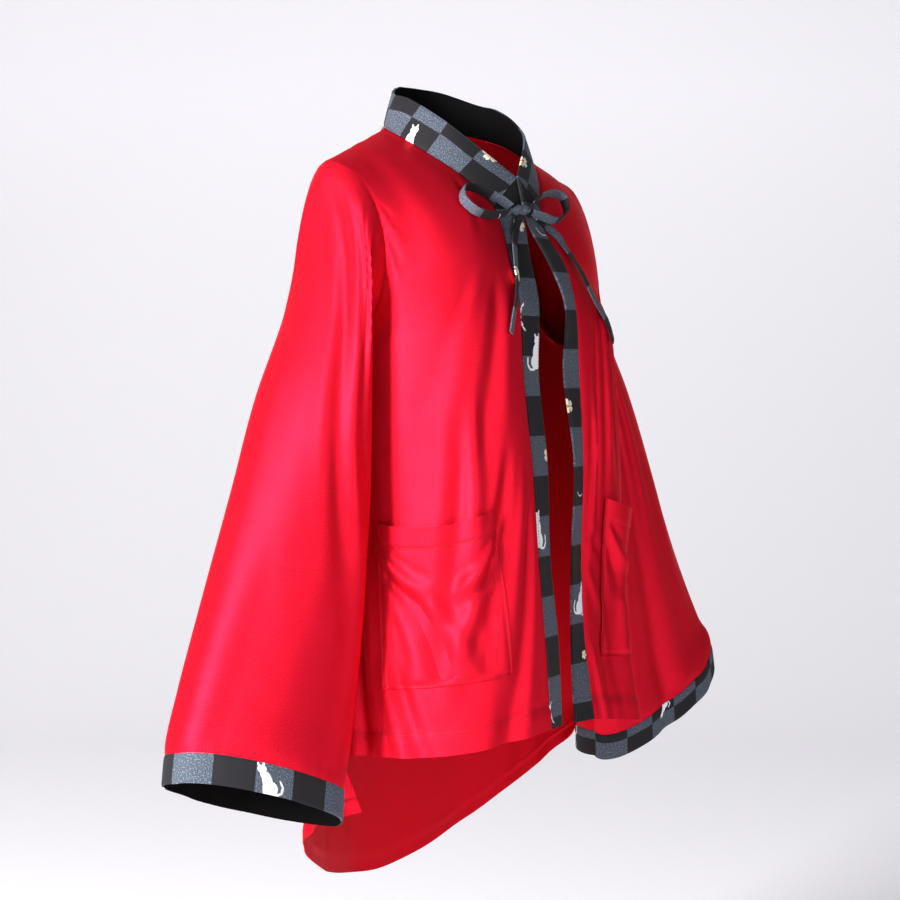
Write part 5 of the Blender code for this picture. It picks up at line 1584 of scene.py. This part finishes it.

# %% [markdown]
# ## Thread
#
# Seams and hems are sewn with polyester thread, which shines on each twist. The red thread is far darker
# than the knit, which is painted shade for the dark line along each seam. Each thread gets a fine wave
# across its colour, painted shade and shine in place of thousands of twisted strands.

# %% Two threads
def thread(name, colour):
    """Sewing thread, with a faint twist painted as shade and shine across its colour."""
    cloth, tree, shader = new_material(name)
    where = node(tree, "ShaderNodeTexCoord").outputs["Object"]
    twist = node(tree, "ShaderNodeTexWave", {"Vector": where, "Scale": 900.0, "Distortion": 2.0}).outputs["Fac"]
    # painted shade and shine of the twist: the colour drops to three quarters of itself along the wave
    twist_shading = mix_colour(tree, twist, tuple(c * 0.75 for c in colour), colour)
    feed(tree, shader, {"Base Color": twist_shading, "Roughness": 0.45})
    return cloth


# the red thread is far darker than the knit: painted shade for the dark line along seams and hems
RED_THREAD_SHADED = thread("thread_red_painted_shade", (0.10, 0.0004, 0.002))
DARK_THREAD = thread("thread_dark", (0.030, 0.031, 0.036))

# %% [markdown]
# ## Stitches with Geometry Nodes
#
# A sewn hem is one small stitch repeated hundreds of times along a line. Copying objects by hand would be
# slow, so a node tree does it: it turns edges into curves, cuts them into equal steps, and puts a stretched
# ball on each point, turned along the line and standing up from the cloth. The tree has named inputs
# for spacing, length and thickness, and a fixed seed, and ends in real geometry with its material.

# %% Tree of the stitches
STITCH_SIZES = {"Spacing": 0.0030, "Length": 0.0022, "Thickness": 0.00058}
STITCH_SEED = 7


def stitch_tree():
    """Geometry Nodes that lay one stitch of thread at every step along sewing lines."""
    tree = bpy.data.node_groups.new("Stitch rows", "GeometryNodeTree")
    face = tree.interface
    face.new_socket("Geometry", in_out="INPUT", socket_type="NodeSocketGeometry")
    for name, value in STITCH_SIZES.items():
        face.new_socket(name, in_out="INPUT", socket_type="NodeSocketFloat").default_value = value
    face.new_socket("Seed", in_out="INPUT", socket_type="NodeSocketInt").default_value = STITCH_SEED
    face.new_socket("Thread", in_out="INPUT", socket_type="NodeSocketMaterial")
    face.new_socket("Geometry", in_out="OUTPUT", socket_type="NodeSocketGeometry")

    def add(kind, inputs=None, out=0, **settings):
        return node(tree, kind, inputs, **settings).outputs[out]

    given = node(tree, "NodeGroupInput").outputs
    # sewing lines, cut into equal steps
    lines = add("GeometryNodeMeshToCurve", {"Mesh": given["Geometry"]})
    steps = add("GeometryNodeResampleCurve", {"Curve": lines, "Length": given["Spacing"]}, mode="LENGTH")
    # one stitch: a ball stretched along X
    ball = add("GeometryNodeMeshUVSphere", {"Segments": 6, "Rings": 4, "Radius": 0.5})
    turn = add("GeometryNodeTransform", {"Geometry": ball, "Rotation": (0.0, math.pi / 2, 0.0)})
    # it points along the line and stands up from the cloth
    tangent = add("GeometryNodeInputTangent")
    up = add("GeometryNodeInputNamedAttribute", {"Name": "up"}, "Attribute", data_type="FLOAT_VECTOR")
    ahead = add("FunctionNodeAlignRotationToVector", {"Vector": tangent}, axis="X")
    towards = {"Rotation": ahead, "Vector": up}
    stands = add("FunctionNodeAlignRotationToVector", towards, axis="Z", pivot_axis="X")
    # a little longer or shorter each time, as a hand-fed machine sews
    vary = add("FunctionNodeRandomValue", {2: 0.88, 3: 1.10, "Seed": given["Seed"]}, 1, data_type="FLOAT")
    length = add("ShaderNodeMath", {0: given["Length"], 1: vary}, operation="MULTIPLY")
    size = add("ShaderNodeCombineXYZ", {"X": length, "Y": given["Thickness"], "Z": given["Thickness"]})
    placed = {"Points": steps, "Instance": turn, "Rotation": stands, "Scale": size}
    rows = add("GeometryNodeInstanceOnPoints", placed)
    real = add("GeometryNodeRealizeInstances", {"Geometry": rows})
    soft = add("GeometryNodeSetShadeSmooth", {"Geometry": real})
    done = add("GeometryNodeSetMaterial", {"Geometry": soft, "Material": given["Thread"]})
    node(tree, "NodeGroupOutput", {0: done})
    return tree

# %% Sew along lines
STITCH_TREE = stitch_tree()
# How far a row of stitches stands off its cloth
LIFT = 0.010


def sew(name, rows, cloth):
    """Stitches along lines of (points, facings): edges that carry an 'up', then the node tree."""
    points, edges, ups = [], [], []
    for line, facings in rows:
        first = len(points)
        points += [tuple(p * CM) for p in line + facings * LIFT]
        ups += [tuple(n) for n in facings]
        edges += [(k, k + 1) for k in range(first, len(points) - 1)]
    mesh = bpy.data.meshes.new(name)
    mesh.from_pydata(points, edges, [])
    mesh.attributes.new("up", "FLOAT_VECTOR", "POINT").data.foreach_set("vector", np.ravel(ups))
    piece = add_object(name, mesh)
    grow = piece.modifiers.new("Stitches", "NODES")
    grow.node_group = STITCH_TREE
    sockets = {item.name: item.identifier for item in STITCH_TREE.interface.items_tree if item.in_out == "INPUT"}
    for label, value in {**STITCH_SIZES, "Seed": STITCH_SEED, "Thread": cloth}.items():
        grow[sockets[label]] = value
    grown = bpy.data.meshes.new_from_object(piece.evaluated_get(bpy.context.evaluated_depsgraph_get()))
    piece.modifiers.clear()
    piece.data = grown
    grown.name = name
    print(name, len(grown.polygons), "faces of thread")
    return piece

# %% Lines beside a border
def line_at(outer, axis, distance, from_end=False, trim=0):
    """A line on an outer face at a distance from one of its borders, with the face's normals."""
    both = np.concatenate([outer, outward_normals(outer)], axis=-1)
    if axis == 1:
        both = both.transpose(1, 0, 2)
    if from_end:
        both = both[::-1]
    run = lengths(both[..., :3])
    columns_kept = range(trim, both.shape[1] - trim)
    line = np.array([[np.interp(distance, run[:, k], both[:, k, j]) for j in range(6)] for k in columns_kept])
    return line[:, :3], line[:, 3:]

# %% All stitching
# Distances of the stitching from the edge
POCKET_SEAM, STRIP_SEAM, COLLAR_SEAM = 0.22, 0.18, 0.20
STITCHES = {}
for side in SIDES:
    front, pocket, band = (OUTER[kind + side] for kind in ("front_", "pocket_", "band_"))
    STITCHES["front_" + side] = sew("stitches_front_" + side, [line_at(front, 0, HEM_DEPTH, True)], RED_THREAD_SHADED)
    rows = [line_at(pocket, 0, MOUTH_DEPTH)]
    rows += [line_at(pocket, axis, POCKET_SEAM, end, 1) for axis, end in ((0, True), (1, False), (1, True))]
    STITCHES["pocket_" + side] = sew("stitches_pocket_" + side, rows, RED_THREAD_SHADED)
    rows = [line_at(band, 1, STRIP_SEAM, end) for end in (False, True)]
    STITCHES["band_" + side] = sew("stitches_band_" + side, rows, DARK_THREAD)
STITCHES["back"] = sew("stitches_back", [line_at(OUTER["back"], 0, BACK_HEM, True)], RED_THREAD_SHADED)
rows = [line_at(OUTER["collar"], 0, STRIP_SEAM), line_at(OUTER["collar"], 0, COLLAR_SEAM, True)]
STITCHES["collar"] = sew("stitches_collar", rows, DARK_THREAD)

# %% [markdown]
# ## What each cloth stands for
#
# Each cloth takes the place of the solid of the same name and rides on the garment. The size each
# sheet was cut to, in metres, and what it rests on are listed below.

# %% Ride and replace
for name, piece in PIECES.items():
    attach(piece, "root")
    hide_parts(name)
for name, piece in STITCHES.items():
    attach(piece, "root")
print(len(PIECES), "cloths and", len(STITCHES), "rows of stitching")

# %% Sheets and their cuts
# Width and length in metres and area in square metres, then what each kind rests on
FLAT_SIZES = {
    "back": ((0.53, 0.78), 0.315),
    "front": ((0.24, 0.66), 0.118),
    "sleeve": ((0.50, 0.58), 0.180),
    "cuff": ((0.48, 0.027), 0.0129),
    "collar": ((0.48, 0.044), 0.0190),
    "band": ((0.030, 0.52), 0.0150),
    "pocket": ((0.13, 0.155), 0.0200),
    "bow_loop_right": ((0.010, 0.147), 0.00139),
    "bow_loop_left": ((0.010, 0.130), 0.00123),
    "bow_end_right": ((0.010, 0.130), 0.00123),
    "bow_end_left": ((0.010, 0.162), 0.00153),
    "bow_knot": ((0.024, 0.026), 0.00055),
}
RESTS = {
    "back": "collar", "front": "back", "sleeve": "front_", "cuff": "sleeve_", "collar": "back", "band": "front_",
    "pocket": "front_", "bow": "bow_knot",
}
for entry, (flat, area) in FLAT_SIZES.items():
    for name in [entry] if entry in PIECES else [f"{entry}_{side}" for side in SIDES]:
        kind, _, side = name.partition("_")
        rest = "collar" if name == "bow_knot" else RESTS[kind]
        rest += side if rest.endswith("_") else ""

# %% [markdown]
# ## Floor and backdrop
#
# The coat hangs in front of a pale studio sweep: a floor that curves up into a wall, so no line crosses
# the picture. A faint glow in its material keeps it bright without a lamp of its own.

# %% The sweep
# Height of the floor, where it starts and starts to curve, the curve's radius, and how high and wide it goes
FLOOR, NEAR, CURVE_FROM, CURVE, TALL, HALF_WIDE = -1.02, -6.0, 2.2, 1.6, 6.0, 7.0
CURVE_STEPS, FACING = 24, math.radians(45)


def make_stage():
    """A pale floor that curves up into a backdrop behind the garment."""
    profile = [(NEAR, 0.0), (CURVE_FROM, 0.0)]
    for a in np.linspace(0, math.pi / 2, CURVE_STEPS + 1)[1:]:
        profile.append((CURVE_FROM + CURVE * math.sin(a), CURVE * (1 - math.cos(a))))
    profile.append((CURVE_FROM + CURVE, TALL))
    away = np.array([math.sin(FACING), math.cos(FACING), 0])
    side = np.array([away[1], -away[0], 0])
    points = [away * d + side * s + [0, 0, z + FLOOR] for d, z in profile for s in (-HALF_WIDE, HALF_WIDE)]
    faces = [(k, k + 1, k + 3, k + 2) for k in range(0, len(points) - 2, 2)]
    mesh = bpy.data.meshes.new("stage")
    mesh.from_pydata(points, [], faces)
    mesh.polygons.foreach_set("use_smooth", np.ones(len(faces), bool))
    stage = add_object("stage", mesh)
    pale, tree, shader = new_material("stage")
    feed(tree, shader, {
        "Base Color": (0.88, 0.87, 0.90, 1),
        "Roughness": 0.9,
        "Emission Color": (0.96, 0.95, 1.0, 1),
        "Emission Strength": 0.24,
    })
    mesh.materials.append(pale)
    print("stage of", len(faces), "faces")


make_stage()

# %% [markdown]
# ## Light
#
# A key light from the wearer's right gives the creases their shading, a weaker one from the front opens
# the shadows, and two faint ones draw the back and the shoulders. They are soft squares, because satin
# shows the shape of a lamp in its highlights. The Standard view keeps the strong red that a filmic curve
# would pale.

# %% Lamps
# Azimuth and elevation in degrees, distance and size in metres, power in watts
LAMPS = {
    "key": (-86, 16, 2.6, 0.8, 162),
    "fill": (-8, 6, 3.0, 1.6, 26),
    "rim": (180, 35, 3.2, 1.6, 8),
    "top": (-40, 75, 3.0, 2.5, 2),
}
AIM = np.array([0, 0, -0.35])
for name, (azimuth, elevation, distance, size, power) in LAMPS.items():
    a, e = math.radians(azimuth), math.radians(elevation)
    away = np.array([math.sin(a) * math.cos(e), -math.cos(a) * math.cos(e), math.sin(e)])
    light = bpy.data.lights.new(name, "AREA")
    light.shape = "SQUARE"
    light.size = size
    light.energy = power
    lamp = add_object(name, light)
    lamp.location = away * distance + AIM
    lamp.rotation_mode = "QUATERNION"
    lamp.rotation_quaternion = Vector(-away).to_track_quat("-Z", "Y")
bpy.context.scene.view_settings.view_transform = "Standard"
print(len(LAMPS), "lamps")

# %% World
ROOM = (0.93, 0.94, 1.0, 1)
world = bpy.data.worlds.new("studio")
world.use_nodes = True
tree = world.node_tree
# beyond the floor the room looks pale too, but it lights the cloth only a little
dim, seen = tree.nodes["Background"], node(tree, "ShaderNodeBackground", {"Color": ROOM, "Strength": 0.80})
feed(tree, dim, {"Color": ROOM, "Strength": 0.07})
camera_ray = node(tree, "ShaderNodeLightPath").outputs["Is Camera Ray"]
either = node(tree, "ShaderNodeMixShader", {0: camera_ray, 1: dim.outputs[0], 2: seen.outputs[0]})
feed(tree, tree.nodes["World Output"], {"Surface": either.outputs[0]})
bpy.context.scene.world = world
print("room glows", dim.inputs["Strength"].default_value)

# %% [markdown]
# ## Camera
#
# The picture is taken half from the side and a touch from above, with a long lens from two metres away,
# which keeps the sleeve nearest to it from looking large.

# %% The camera
# Metres from the middle, azimuth and tilt, height, and how far the picture is shifted, in pixels of its 900
VIEW_FAR, VIEW_AROUND, VIEW_TILT, VIEW_UP, VIEW_SHIFT = 2.0, math.radians(-45), math.radians(88), -0.253, -13
camera = bpy.data.cameras.new("camera")
camera.lens = 80.2
camera.sensor_width = 36
camera.clip_end = 50
camera.shift_x = VIEW_SHIFT / 900
view = add_object("camera", camera)
view.location = (VIEW_FAR * math.sin(VIEW_AROUND), -VIEW_FAR * math.cos(VIEW_AROUND), VIEW_UP)
view.rotation_euler = (VIEW_TILT, 0, VIEW_AROUND)
bpy.context.scene.camera = view
print("camera at", [round(c, 3) for c in view.location])
